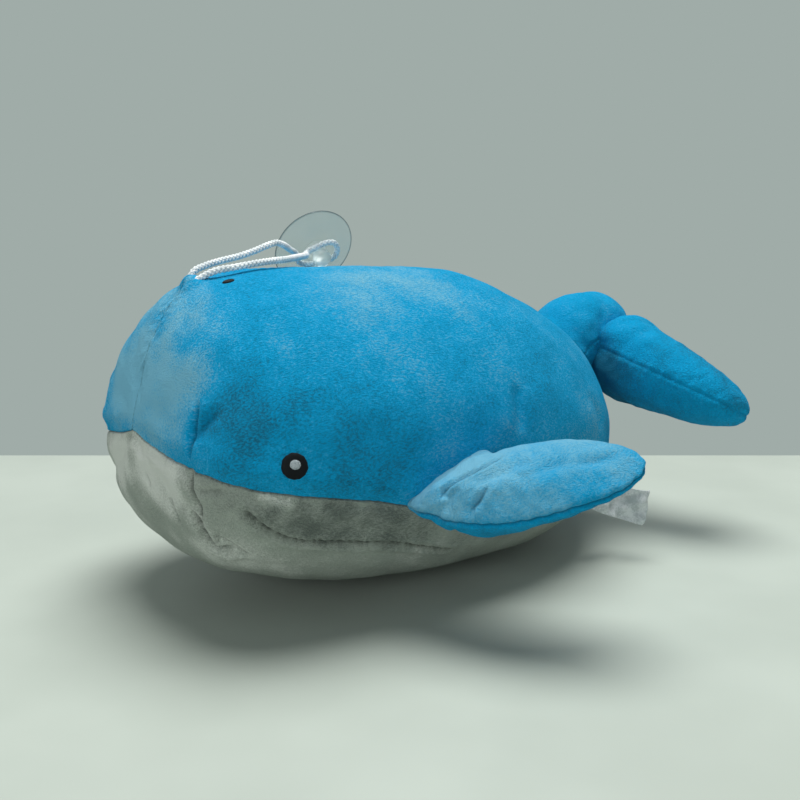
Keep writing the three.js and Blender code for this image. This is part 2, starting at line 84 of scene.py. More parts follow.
# %% [markdown]
# ## Meshes from grids
# Cloth, cord and cup are all sheets of points in rows and columns. One helper joins such a grid
# with four-cornered faces, and another turns points in millimetres into an object, so every later
# cell only has to say where its points are.

# %% Grids
MM = 0.001


def grid_faces(rows, cols, closed=False):
    """Faces between the points of a grid. A closed one joins its last column to its first."""
    ids = np.arange(rows * cols).reshape(rows, cols)
    if closed:
        ids = np.column_stack([ids, ids[:, 0]])
    return np.stack([ids[:-1, :-1], ids[:-1, 1:], ids[1:, 1:], ids[1:, :-1]], -1).reshape(-1, 4)


def make_piece(name, points, faces):
    mesh = bpy.data.meshes.new(name)
    faces = faces if isinstance(faces, list) else faces.tolist()
    mesh.from_pydata((np.asarray(points).reshape(-1, 3) * MM).tolist(), [], faces)
    mesh.polygons.foreach_set("use_smooth", [True] * len(mesh.polygons))
    mesh.update()
    piece = bpy.data.objects.new(name, mesh)
    bpy.context.scene.collection.objects.link(piece)
    print(name, len(mesh.vertices), "points")
    return piece


def paint(piece, name, amounts):
    """Keeps one number for each point of a piece, for its material to read."""
    layer = piece.data.attributes.new(name, "FLOAT", "POINT")
    layer.data.foreach_set("value", np.asarray(amounts, np.float32).ravel())


def unit(vectors):
    vectors = np.asarray(vectors, float)
    return vectors / np.maximum(np.linalg.norm(vectors, axis=-1, keepdims=True), 1e-12)


print("faces of a closed grid of 3 by 4:", len(grid_faces(3, 4, closed=True)))

# %% [markdown]
# ## Hanging cord
# The cord is a soft round braid of 3 mm, sewn to the crown with both ends. It runs over the head,
# round the neck of the suction cup and back. A curve with a round bevel would be a plain tube, so
# the route is a smooth line through points, and the tube is a grid with the braid in its surface.

# %% The cord's route
CORD_DIAMETER = 3.0
CROWN_TOP = np.array([-26, 0, 159])  # the highest place of the back, from which the route is measured
LOOP_HINGE = np.array([-125.116, 0, 153.376])
LOOP_SPREAD = np.array([0, 2.2, 0])  # from the crown seam to each end
SEWN_IN = np.array([1.2, 0, -1.8])  # how far the ends go on into the plush
CORD_ROUTE = CROWN_TOP + np.array([
    [-89.5, -6.5, -2.5], [-80, -10.5, -0.5], [-70, -10.6, 0.9], [-60, -8, 1.7], [-50, -3.6, 2.1],
    [-41.5, 2.4, 2.6], [-34, 9.6, 2.8], [-27.5, 17.6, 2.8], [-21.5, 26, 2.6], [-13.9, 36.8, 4.3],
    [-9.5, 35.2, 6.5], [-4.7, 33.7, 8.7], [0.3, 33.4, 8.6], [3.4, 34.9, 5.5], [3.1, 37.2, 1.5],
    [-0.9, 38.8, -1], [-6.3, 39.6, -1.7], [-12.2, 40.5, -2.6], [-17.6, 40.4, -1.1], [-20.5, 37.5, 3.1],
    [-26.5, 32.5, 5.1], [-31.5, 26.5, 6.3], [-36, 20.8, 7.3], [-40.5, 16.6, 8.5], [-46, 13.4, 9.5],
    [-52.5, 11.2, 8.2], [-60.5, 9.6, 5.7], [-69.5, 8.4, 3.4], [-79, 7, 1.7], [-88, 5, -0.3],
    [-94.5, 3.2, -2.7],
])


def smooth_line(points, step, substeps=60):
    """A smooth line through points, with its own points step apart."""
    points = np.asarray(points, float)
    ends = np.vstack([2 * points[0] - points[1], points, 2 * points[-1] - points[-2]])
    gaps = np.sqrt(np.linalg.norm(np.diff(ends, axis=0), axis=1))
    line = []
    for k in range(1, len(ends) - 2):
        a, b, c, d = ends[k - 1:k + 3]
        g0, g1, g2 = gaps[k - 1:k + 2]
        leave = ((b - a) / g0 - (c - a) / (g0 + g1) + (c - b) / g1) * g1
        arrive = ((c - b) / g1 - (d - b) / (g1 + g2) + (d - c) / g2) * g1
        u = np.linspace(0, 1, substeps, endpoint=False)[:, None]
        line.append(b + leave * u + (3 * (c - b) - 2 * leave - arrive) * u**2
                    + (2 * (b - c) + leave + arrive) * u**3)
    line = np.vstack([*line, points[-1:]])
    run = np.concatenate([[0], np.cumsum(np.linalg.norm(np.diff(line, axis=0), axis=1))])
    even = np.linspace(0, run[-1], max(2, round(run[-1] / step) + 1))
    return np.column_stack([np.interp(even, run, line[:, axis]) for axis in range(3)])


cord_ends = [LOOP_HINGE + SEWN_IN - LOOP_SPREAD, LOOP_HINGE + SEWN_IN + LOOP_SPREAD]
cord_line = smooth_line([cord_ends[0], *CORD_ROUTE, cord_ends[1]], 0.2)

# %% [markdown]
# Two sets of strands wind round the cord in opposite directions and pass over and under each other.
# Where a point lies in both sets decides its height, as on a woven cloth rolled into a tube.

# %% The braid
STRANDS = 4  # in each set
LEAD = 8.2  # how far a strand runs in one turn, in mm
BRAID_HEIGHT = 0.62
CORE_RADIUS = CORD_DIAMETER / 2 - 0.75 * BRAID_HEIGHT  # the strands' tops stand a little proud
AROUND_CORD = 44


def braid_height(turn, run):
    right = STRANDS * (turn / (2 * np.pi) + run / LEAD)
    left = STRANDS * (turn / (2 * np.pi) - run / LEAD)
    swap = np.sin(np.pi * left) * np.where(np.floor(right) % 2 == 0, 1, -1)
    back = np.sin(np.pi * right) * np.where(np.floor(left) % 2 == 0, 1, -1)
    one_way = np.abs(np.sin(np.pi * right)) ** 0.5 * (0.5 + 0.5 * swap)
    other_way = np.abs(np.sin(np.pi * left)) ** 0.5 * (0.5 - 0.5 * back)
    return BRAID_HEIGHT * np.maximum(one_way, other_way)


def tube(name, line, radius, height, around):
    """A tube along a line, whose surface rises by height(turn, run)."""
    ahead = unit(np.gradient(line, axis=0))
    side = unit(np.cross(ahead[0], [0, 0, 1]))
    sides = [side]
    for direction in ahead[1:]:
        side = unit(side - direction * (side @ direction))
        sides.append(side)
    sides = np.array(sides)
    ups = np.cross(ahead, sides)
    run = np.concatenate([[0], np.cumsum(np.linalg.norm(np.diff(line, axis=0), axis=1))])
    turn = np.linspace(0, 2 * np.pi, around, endpoint=False)
    reach = radius + height(turn[None, :], run[:, None])
    points = line[:, None] + reach[..., None] * (
        np.cos(turn)[None, :, None] * sides[:, None] + np.sin(turn)[None, :, None] * ups[:, None]
    )
    piece = make_piece(name, points, grid_faces(len(line), around, closed=True))
    # painted shade: the low places between the strands are darker
    paint(piece, "parted_shade", 1 - (reach - reach.min()) / np.ptp(reach))
    return piece


cord = tube("hanging_cord", cord_line, CORE_RADIUS, braid_height, AROUND_CORD)

# %% [markdown]
# ## Suction cup
# The cup is one piece of clear vinyl: a thin dish with a bead round its rim, a neck, and a knob
# that holds the loop. It is round about one axis, so half its outline is turned round that axis.
# Two numbers on each point tell the material where the bead is, which is painted darker as painted
# shade for the dark rim of clear vinyl, and where the knob is, which is less smooth.

# %% The cup
CUP_CENTRE = CROWN_TOP + np.array([-6.6, 43, 5.9])
CUP_AXIS = unit([-0.06, -0.873, -0.484])
CUP_SIDES = 96
BEAD_WIDTH = 0.5
KNOB_RADIUS = 5.5
POLE = 0.01  # the smallest radius, so that no two points fall together on the axis
CUP_OUTLINE = [
    (0.01, 2.2), (6, 2.1), (12, 1.5), (17, 0.75), (20.8, 0.15), (21.9, 0), (22.5, 0.3), (22.3, 0.9),
    (21.5, 1), (19, 1.15), (14, 2.05), (8, 3.05), (4.6, 3.55), (3.3, 4.3), (3, 5.4), (3, 7.4),
    (3.2, 8.3), (4.3, 8.8), (4.8, 9.7), (4.75, 11.6), (4.3, 12.8), (2.6, 13.4), (0.01, 13.5),
]


def hill(value, width, centre=0.0):
    """A smooth hill: 1 at the centre, and close to 0 at two widths from it."""
    return np.exp(-((value - centre) / width) ** 2)


def turned(name, outline, centre, axis, sides):
    """An outline of (radius, height) turned round an axis through centre."""
    flat = smooth_line([(r, h, 0) for r, h in outline], 0.3)
    across = unit(np.cross(axis, [0, 0, 1]))
    upward = np.cross(axis, across)
    turn = np.linspace(0, 2 * np.pi, sides, endpoint=False)
    spoke = np.cos(turn)[:, None] * across + np.sin(turn)[:, None] * upward
    points = centre + np.maximum(flat[:, None, :1], POLE) * spoke[None] + flat[:, None, 1:2] * axis
    piece = make_piece(name, points, grid_faces(len(flat), sides, closed=True))
    radius = np.repeat(flat[:, 0], sides)
    # painted shade: the bead is painted darker, as clear vinyl looks at its rim
    paint(piece, "edge", hill(radius, BEAD_WIDTH, radius.max()))
    paint(piece, "knob", 1 / (1 + np.exp((radius - KNOB_RADIUS) / 0.5)))
    return piece


cup = turned("clear_cup", CUP_OUTLINE, CUP_CENTRE, CUP_AXIS, CUP_SIDES)

# %% [markdown]
# ## Shape of the torso
# A well stuffed toy is a smooth form that three outlines describe: the crown, the flank and the
# keel, each of two arcs. At every place along the whale the section between them is close to an
# ellipse. A point of the surface is then given by how far back it is and by its angle from the crown.

# %% The three outlines
SNOUT = np.array([-155, 0, 88.0])
RUMP = np.array([124, 0, 65.0])


def arcs(share, *handles):
    """A point on two arcs that meet at the middle handle, for each share of the way."""
    handles = np.array([SNOUT, *handles, RUMP], float)
    first = share < 0.5
    u = np.where(first, 2 * share, 2 * share - 1)[:, None]
    a, b, c, d = (np.where(first[:, None], handles[k], handles[k + 3]) for k in range(4))
    return (1 - u) ** 3 * a + 3 * (1 - u) ** 2 * u * b + 3 * (1 - u) * u**2 * c + u**3 * d


def crown(share):
    return arcs(share, (-141, 0, 164), (-127, 0, 159), (-26, 0, 159), (61, 0, 159), (124, 0, 106))


def flank(share):
    return arcs(share, (-155, -70, 88), (-144, -92, 72), (-20, -92, 72), (58, -92, 72), (124, -59, 65))


def keel(share):
    return arcs(share, (-169, 0, 23), (-102, 0, -0.5), (0, 0, -0.5), (65, 0, -0.5), (124, 0, 1))


print("snout to rump:", RUMP[0] - SNOUT[0], "mm")

# %% The surface
UPPER_FULLNESS, LOWER_FULLNESS = 1.95, 2.2  # an ellipse has 2, and a boxier section more


def torso(share, angle):
    """Points of the surface. Angles are in radians from the crown towards the whale's left."""
    share, angle = np.broadcast_arrays(np.asarray(share, float), np.asarray(angle, float))
    shape = share.shape
    share, angle = share.ravel(), angle.ravel()
    side = flank(share)
    up = np.cos(angle) >= 0
    pole = np.where(up[:, None], crown(share), keel(share))
    power = np.where(up, 2 / UPPER_FULLNESS, 2 / LOWER_FULLNESS)
    lift = np.abs(np.cos(angle)) ** power
    out = np.sign(np.sin(angle)) * np.abs(np.sin(angle)) ** power
    points = np.column_stack([
        side[:, 0] + (pole[:, 0] - side[:, 0]) * lift,
        side[:, 1] * out,
        side[:, 2] + (pole[:, 2] - side[:, 2]) * lift,
    ])
    return points.reshape(*shape, 3)


def torso_frame(share, angle, probe=1e-3):
    """The directions along the whale and round it, and the one that points out."""
    along = (torso(share + probe, angle) - torso(share - probe, angle)) / (2 * probe)
    round_it = (torso(share, angle + probe) - torso(share, angle - probe)) / (2 * probe)
    return along, round_it, unit(np.cross(round_it, along))


section = np.ptp(torso(0.5, np.linspace(0, 2 * np.pi, 73)), axis=0)
print("section half way:", round(section[1]), "by", round(section[2]), "mm")

# %% [markdown]
# The seam between the blue back and the grey belly wanders up and down the flank. It is kept as its
# angle from the crown at equal steps along the whale, with a smooth curve through them.

# %% The seam between back and belly
SEAM_ANGLES = np.array([103.5, 98, 96.5, 98, 107, 111, 115, 116, 110])  # in degrees


def seam_angle(share):
    steps = len(SEAM_ANGLES) - 1
    at = np.minimum(np.asarray(share, float) * steps, steps - 1e-9)
    k = np.floor(at).astype(int)
    a, b, c, d = (SEAM_ANGLES[np.clip(k + n, 0, steps)] for n in (-1, 0, 1, 2))
    f = at - k
    return np.radians(b + 0.5 * f * (c - a + f * (2 * a - 5 * b + 4 * c - d + f * (3 * (b - c) + d - a))))


print("seam half way:", round(math.degrees(seam_angle(0.5))), "degrees from the crown")

# %% [markdown]
# ## Seams, darts and folds
# Sewing pulls cloth in: every seam lies in a groove, with a soft welt beside it and small puckers
# across it. A crease is kept as a line of (share, angle) places, with its depth and width. Its
# effect on a point depends only on how far away the crease is, so any piece can ask for it.

# %% Distance to a line
FELT = 25  # how far from a crease its effect can still be felt, in mm
AT_ONCE = 4000  # points that are measured together, to save memory


def line_on_torso(places):
    """A smooth line over the torso through places of (share, degrees)."""
    share, degrees = np.array(places, float).T
    known = np.arange(len(share))
    fine = np.linspace(0, known[-1], 12 * len(share))[::6]
    points = torso(np.interp(fine, known, share), np.radians(np.interp(fine, known, degrees)))
    return smooth_line(points, 1.0)


def near_line(points, line):
    """For each point, its distance to the line and how far along the line that is."""
    steps = np.linalg.norm(np.diff(line, axis=0), axis=1)
    run = np.concatenate([[0], np.cumsum(steps)])
    distance, at = np.full(len(points), 1e3), np.zeros(len(points))
    middle = line.mean(0)
    reach = np.linalg.norm(line - middle, axis=1).max() + FELT
    close = np.flatnonzero(np.linalg.norm(points - middle, axis=1) < reach)
    for part in np.array_split(close, len(close) // AT_ONCE + 1):
        gaps = np.linalg.norm(points[part][:, None] - line[None], axis=2)
        best = gaps.argmin(1)
        distance[part], at[part] = gaps[np.arange(len(part)), best], run[best]
    return distance, at, run[-1]


def fade(at, whole, run_in=7):
    """Rises from 0 at both ends of a line to 1, over a few millimetres."""
    rise = np.clip(np.minimum(at, whole - at) / min(0.3 * whole, run_in), 0, 1)
    return rise * rise * (3 - 2 * rise)


def ripple(points, size, seed, waves=9):
    """Smooth uneven heights between about -1 and 1, with features of one size."""
    dice = np.random.default_rng(seed)
    ways = unit(dice.normal(size=(waves, 3))) * dice.uniform(0.7, 1.4, (waves, 1)) * 2 * np.pi / size
    return np.sin(points @ ways.T + dice.uniform(0, 2 * np.pi, waves)).sum(-1) / math.sqrt(waves)


# %% [markdown]
# A dart is a short seam that takes a wedge out of the cloth. The belly's grooves are quilted: they
# are stitched through the stuffing, so they go deeper at each stitch. A fold is only pressed in. The
# pile parts in a narrow crease and shade falls in it, so a narrow crease is also painted darker:
# painted shade, over the pile's dark ground.

# %% The creases
SHADED_WIDTH = 2.9  # a wider crease gets no painted shade, as its pile doesn't part
STITCH_PULL = 0.28  # the share of a groove's depth that changes from stitch to stitch
STITCH_SWELL = 0.4  # how far the plush beside a groove swells between stitches, in mm
# places of (share, degrees), then depth, width, welt and length of a stitch in mm, or 0 for none
CREASES = {
    "brow_dart": (
        [(0.158, 63), (0.1516, 68.7), (0.1445, 76), (0.1422, 84), (0.1406, 101)], 1.6, 1.2, 0.9, 0),
    "brow_fold": (
        [(0.198, 67), (0.1858, 70.5), (0.1701, 73.2), (0.1573, 77.5), (0.1473, 82), (0.143, 88)],
        2.2, 2.8, 0.3, 0),
    "chin_dart": (
        [(0.1402, 94), (0.143, 101), (0.1475, 107), (0.1587, 111), (0.170, 119), (0.1815, 129)],
        1.9, 1.3, 0.9, 0),
    "chin_groove": (
        [(0.149, 118), (0.154, 121), (0.163, 124.5), (0.1758, 129.5), (0.187, 134), (0.2, 137.2),
         (0.213, 136.3), (0.219, 131), (0.215, 127)], 5.2, 2.1, 1.8, 3.2),
    "chin_line": ([(0.195, 127.5), (0.21, 127.6), (0.231, 130), (0.264, 135)], 1.5, 1.3, 0.6, 0),
    "throat_line": (
        [(0.104, 131), (0.1117, 134), (0.126, 138), (0.140, 141), (0.159, 144)], 1.7, 1.3, 0.7, 0),
    "throat_fold": ([(0.050, 148), (0.0547, 150.5), (0.069, 151.5), (0.086, 157)], 0.8, 1.3, 0.4, 0),
    "cheek_line": ([(0.1488, 107), (0.1716, 103.7), (0.1972, 100.5), (0.22, 98.2)], 1.0, 1.3, 0.4, 0),
    "side_groove": (
        [(0.2257, 103.3), (0.2385, 106.5), (0.2556, 110.7), (0.27, 113.3), (0.2856, 115.2),
         (0.303, 115.9), (0.32, 115.7), (0.358, 115.7), (0.39, 116.1), (0.41, 117.6),
         (0.431, 121.2), (0.454, 125.2), (0.475, 128.4)], 2.8, 1.4, 1.2, 4.2),
    "flank_fold": ([(0.545, 66), (0.542, 72.3), (0.539, 78.5), (0.539, 86)], 1.3, 3.0, 0.5, 0),
    "rump_fold": ([(0.68, 70), (0.70, 75), (0.712, 82), (0.71, 92)], 0.7, 3.5, 0.4, 0),
}


def creased(points):
    """How far the creases move each point out, and the painted shade in the parted pile there."""
    move, shade = np.zeros(len(points)), np.zeros(len(points))
    for places, depth, width, welt, stitch in CREASES.values():
        for hand in (1, -1):
            line = line_on_torso([(share, hand * degrees) for share, degrees in places])
            distance, at, whole = near_line(points, line)
            strength = fade(at, whole)
            if stitch:
                beat = np.sin(2 * np.pi * (at + 0.9 * np.sin(0.8 * at)) / stitch)
                strength = strength * (1 - STITCH_PULL + STITCH_PULL * beat)
                move += STITCH_SWELL * fade(at, whole) * beat * hill(distance, 2.2, 2.4)
            move -= depth * strength * hill(distance, width)
            move += welt * fade(at, whole) * hill(distance, 1.5 * width, 2.6 * width)
            if width < SHADED_WIDTH:
                spread = (0.85 if stitch else 0.75) * width
                dark = min(1.2, 0.55 * depth / width) * strength * hill(distance, spread)
                shade = np.maximum(shade, dark)
    return move, shade


print("creases on each side:", len(CREASES))

# %% [markdown]
# ## Torso panels
# Three panels of plush make the torso: a left and a right back panel that meet along the crown, and
# the grey belly. They could be stuffed by simulation as the limbs are, but then they would settle
# away from the model, so each is a fine grid between its two seams that is moved in code. Its edges
# roll down into the seam, it is drawn in beside it, and it is never quite even, because the
# stuffing under it isn't.

# %% The edges of a panel
ROWS = 400
EDGE_ROLL = 1.25  # how deep the edge of a panel rolls into its seam, in mm
ROOMY = 40  # a panel that is narrower than this, in mm, has less room to gather
DRAWN_IN, DRAWN_WIDTH = 1.5, 5.5  # how deep and how wide the cloth is drawn in beside a seam
EDGE_WELT, EDGE_WELT_AT = 0.9, 9  # how high it stands farther out, and how far from the seam
PUCKER = 0.22


def even_shares(rows):
    """Shares at which the rows lie evenly along the three outlines together."""
    fine = np.linspace(0.0012, 0.9988, 4000)
    steps = [np.linalg.norm(np.diff(line(fine), axis=0), axis=1) for line in (crown, flank, keel)]
    run = np.concatenate([[0], np.cumsum(sum(steps))])
    return np.interp(np.linspace(0, run[-1], rows), run, fine)


def sewn_edges(points, seams):
    """How far its two seams move a panel's points out, and how near a seam each point is."""
    steps = np.linalg.norm(np.diff(points, axis=1), axis=2)
    from_start = np.concatenate([np.zeros((ROWS, 1)), np.cumsum(steps, axis=1)], axis=1)
    width = from_start[:, -1:]
    edge = np.minimum(from_start, width - from_start)
    deep = np.where(from_start < width / 2, *seams)
    roll = np.minimum(EDGE_ROLL, 0.22 * width)
    rolled = roll - np.sqrt(np.maximum(roll**2 - np.maximum(roll - edge, 0) ** 2, 0))
    room = np.minimum(1, width / ROOMY)
    gather = (0.75 + 0.25 * ripple(points, size=14, seed=11)) * room
    drawn_in = DRAWN_IN * hill(edge, DRAWN_WIDTH) - EDGE_WELT * hill(edge, DRAWN_WIDTH, EDGE_WELT_AT)
    puckers = PUCKER * ripple(points, size=5, seed=12) * hill(edge, 7) * room
    return puckers - deep * (rolled + gather * drawn_in), edge


print("rows are", round(float(np.diff(even_shares(ROWS)).max()), 4), "of the length apart at most")

# %% [markdown]
# A whale that lies on a shelf is pressed a little by what lies on it, so the crown is lower where
# the cup rests. The chin is drawn in, and the plush stands up round the two sewn ends of the cord.

# %% The panels
CROWDING = 0.62  # how much closer the columns are at the seams, where the cloth bends most
SLACK = 0.9  # how far all the cloth lies inside the model, so that its lumps don't pass it, in mm
CUP_REST, CHIN_TUCK, CORD_WELT = 1.5, 3, 2.5
SEAM_STITCH = 2.6
CROWN_SEAM, SIDE_SEAM = 0.3, 1  # how deep each seam is drawn in, as a share
BACK_COLS, BELLY_COLS = 270, 300


def uneven_stuffing(points, share, angle):
    """How far the stuffing moves each point of the torso out."""
    under_cup = np.maximum(np.cos(angle), 0) ** 4 * hill(share, 0.13, 0.46)
    chin = hill(share, 0.06, 0.07) * hill(np.cos(angle), 0.3, -0.72)
    lumps = 0.65 * ripple(points, size=62, seed=13) + 0.28 * ripple(points, size=26, seed=14)
    return lumps - SLACK - CUP_REST * under_cup - CHIN_TUCK * chin


def torso_panel(name, from_angle, to_angle, seams, cols):
    """A grid between two seams. Seams holds how deep each of the two is drawn in."""
    share = even_shares(ROWS)[:, None]
    v = np.linspace(0, 1, cols)
    v = v - CROWDING * np.sin(2 * np.pi * v) / (2 * np.pi)
    start, end = from_angle(share), to_angle(share)
    angle = start + v * (end - start)
    points = torso(share, angle)
    move, edge = sewn_edges(points, seams)
    pressed, shade = (amounts.reshape(edge.shape) for amounts in creased(points.reshape(-1, 3)))
    move = move + pressed + uneven_stuffing(points, share, angle)
    for cord_end in cord_ends:
        move += CORD_WELT * hill(np.linalg.norm(points - cord_end, axis=-1), 5)
    # painted shade: the seam's groove is darker, in dashes along its stitches
    steps = np.linalg.norm(np.diff(points[:, :1], axis=0, prepend=points[:1, :1]), axis=2)
    stitches = 0.7 + 0.3 * np.sin(2 * np.pi * np.cumsum(steps, axis=0) / SEAM_STITCH)
    shade = np.maximum(shade, 0.55 * stitches * hill(edge, 0.7))
    shaped = points + torso_frame(share, angle)[2] * move[..., None]
    shaped[..., 2] = np.maximum(shaped[..., 2], 0.05)
    panel = make_piece(name, shaped, grid_faces(ROWS, cols)[:, ::-1])
    paint(panel, "parted_shade", shade)
    return panel


back_left = torso_panel(
    "back_left", lambda t: 0 * t, seam_angle, (CROWN_SEAM, SIDE_SEAM), BACK_COLS)
back_right = torso_panel(
    "back_right", lambda t: -seam_angle(t), lambda t: 0 * t, (SIDE_SEAM, CROWN_SEAM), BACK_COLS)
belly = torso_panel(
    "belly", seam_angle, lambda t: 2 * np.pi - seam_angle(t), (SIDE_SEAM, SIDE_SEAM), BELLY_COLS)

# %% [markdown]
# ## Stuffed limbs
# Each flipper, the tail stem and each fluke is a pillow: an upper and a lower skin sewn round the
# rim and stuffed. Stuffing shortens the rim less than it rounds the skins, so the cloth puckers
# there. That is what cloth simulation is good at. The blank is a closed lump with even faces, the
# rim is told to shrink and the skins to grow, and air pressure does the rest.
#
# A limb is a table of lengths in millimetres and of shares. Root and chord are its half height and
# half width at the root. Loft and swell are what the middle adds to them, and taper and narrowing
# are the share that the tip loses. Sweep is how far back the tip lies. Fullness is 2 for an oval
# section and more for a boxier one. The sleeve reaches inwards from the root, with its inner end
# smaller by the share flare.

# %% A limb's blank
def limb_section(limb, out):
    """Half width, half height and sweep at a share of the way from root to tip."""
    cap = np.sqrt(np.maximum(0, 1 - out**7))
    half = (limb["chord"] + limb["swell"] * np.sin(np.pi * out)) * (1 - limb["narrowing"] * out) * cap
    thick = (limb["root"] + limb["loft"] * np.sin(np.pi * out)) * (1 - limb["taper"] * out) * cap
    return half, thick, limb["sweep"] * out**1.2


def limb_blank(limb, rows=26, around=48, sleeve_rows=5):
    """A closed lump along +X, with a sleeve behind its root that reaches into what carries it."""
    def bulged(wave):
        return np.sign(wave) * np.abs(wave) ** (2 / limb["fullness"])

    turn = np.linspace(0, 2 * np.pi, around, endpoint=False)
    across, up = bulged(np.cos(turn)), bulged(np.sin(turn))
    rings = []
    for x in np.linspace(-limb["sleeve"], 0, sleeve_rows, endpoint=False):
        waist = 1 + limb["flare"] * x / limb["sleeve"]
        rings.append(np.column_stack([
            np.full(around, x), waist * limb["chord"] * across, waist * limb["root"] * up]))
    for out in np.sin(np.linspace(0, np.pi / 2, rows))[:-1]:
        half, thick, sweep = limb_section(limb, out)
        rings.append(np.column_stack([
            np.full(around, limb["length"] * out), half * across + sweep, thick * up]))
    points = np.vstack([*rings, [[-limb["sleeve"], 0, 0]], [[limb["length"], limb["sweep"], 0]]])
    count, last = len(rings), len(rings) * around
    sides = grid_faces(count, around, closed=True).tolist()
    ring = list(range(around))
    first_cap = [[last, ring[k - 1], ring[k]] for k in ring]
    base = (count - 1) * around
    tip_cap = [[last + 1, base + ring[k], base + ring[k - 1]] for k in ring]
    return points, sides + first_cap + tip_cap


# %% [markdown]
# The blank is first meshed again, with even faces as large as voxel, small enough to fold. Ease is
# the share by which the skins grow, gather the share by which the rim shrinks, and cap the farthest
# that a point may move. Points behind pinned are held, as the cloth is where it is sewn on. Each
# point also keeps its place on the blank, because there the rim is simply where z is 0.

# %% Stuffing a blank
SIM_SCALE = 10  # the cloth settles more steadily at ten times life size
SETTLING_FRAMES = 25
RIM_WIDTH = 1.6


def vectors_of(items, name):
    """One vector of each item of a mesh, such as a point's place, as the rows of an array."""
    flat = np.empty(len(items) * 3)
    items.foreach_get(name, flat)
    return flat.reshape(-1, 3)


def applied(piece):
    """The piece with its modifiers applied to its mesh."""
    shown = piece.evaluated_get(bpy.context.evaluated_depsgraph_get())
    piece.data = bpy.data.meshes.new_from_object(shown)
    piece.modifiers.clear()
    return piece


def blown_up(blank, limb, rest):
    """How far pressure moves each point of a blank."""
    rim = hill(rest[:, 2], RIM_WIDTH) * (rest[:, 0] > 3)
    sewn = blank.vertex_groups.new(name="sewn")
    sewn.add([int(k) for k in np.flatnonzero(rest[:, 0] < limb["pinned"])], 1, "REPLACE")
    short = blank.vertex_groups.new(name="rim")
    for k in np.flatnonzero(rim > 0.05):
        short.add([int(k)], float(rim[k]), "REPLACE")
    cloth = blank.modifiers.new("cloth", "CLOTH")
    cloth.settings.vertex_group_mass = "sewn"
    cloth.settings.vertex_group_shrink = "rim"
    cloth.settings.shrink_min, cloth.settings.shrink_max = -limb["ease"], limb["gather"]
    cloth.settings.use_pressure = True
    cloth.settings.uniform_pressure_force = limb["pressure"]
    cloth.settings.effector_weights.gravity = 0
    cloth.settings.quality = 6
    cloth.settings.mass = 0.4
    cloth.settings.bending_stiffness = limb["bending"]
    cloth.settings.tension_stiffness = cloth.settings.compression_stiffness = 20
    cloth.collision_settings.use_collision = False
    for n in range(1, SETTLING_FRAMES + 1):
        bpy.context.scene.frame_set(n)
    shown = blank.evaluated_get(bpy.context.evaluated_depsgraph_get())
    move = vectors_of(shown.data.vertices, "co") / (SIM_SCALE * MM) - rest
    far = np.linalg.norm(move, axis=1, keepdims=True)
    print(blank.name, "moved up to", round(float(far.max()), 1), "mm")
    blank.modifiers.clear()
    bpy.context.scene.frame_set(1)
    return move * np.minimum(1, limb["cap"] / np.maximum(far, 1e-9))


def stuffed(name, limb):
    """A limb after stuffing, in its own frame, with its points' places on the blank as "own"."""
    points, faces = limb_blank(limb)
    blank = make_piece(name + "_blank", points * SIM_SCALE, faces)
    remesh = blank.modifiers.new("remesh", "REMESH")
    remesh.mode, remesh.voxel_size = "VOXEL", limb["voxel"] * SIM_SCALE * MM
    applied(blank)
    rest = vectors_of(blank.data.vertices, "co") / (SIM_SCALE * MM)
    settled = rest + blown_up(blank, limb, rest)
    blank.data.vertices.foreach_set("co", (settled * MM).ravel())
    own = blank.data.attributes.new("own", "FLOAT_VECTOR", "POINT")
    own.data.foreach_set("vector", rest.ravel())
    smooth = blank.modifiers.new("smooth", "SUBSURF")
    smooth.levels = smooth.render_levels = limb["levels"]
    return applied(blank)


# %% [markdown]
# The simulation's cloth is too coarse for the seam itself, so the seam and the small folds are
# pressed into the finished mesh. A fold is a side, 1 for the upper skin and -1 for the lower, then
# its depth, its width and its line in the limb's own frame. The lower skin's points are put out of
# an upper fold's reach. The shoulder is a soft step over the root, where the limb is sewn on.

# %% Seams on a limb
OUT_OF_REACH = 60
NARROW_FOLD = 1.6  # only a narrower fold gets painted shade, where its pile parts
WELT_SHARE = 0.35  # how high the cloth stands beside a seam or a fold, as a share of its depth


def own_places(piece):
    return vectors_of(piece.data.attributes["own"].data, "vector")


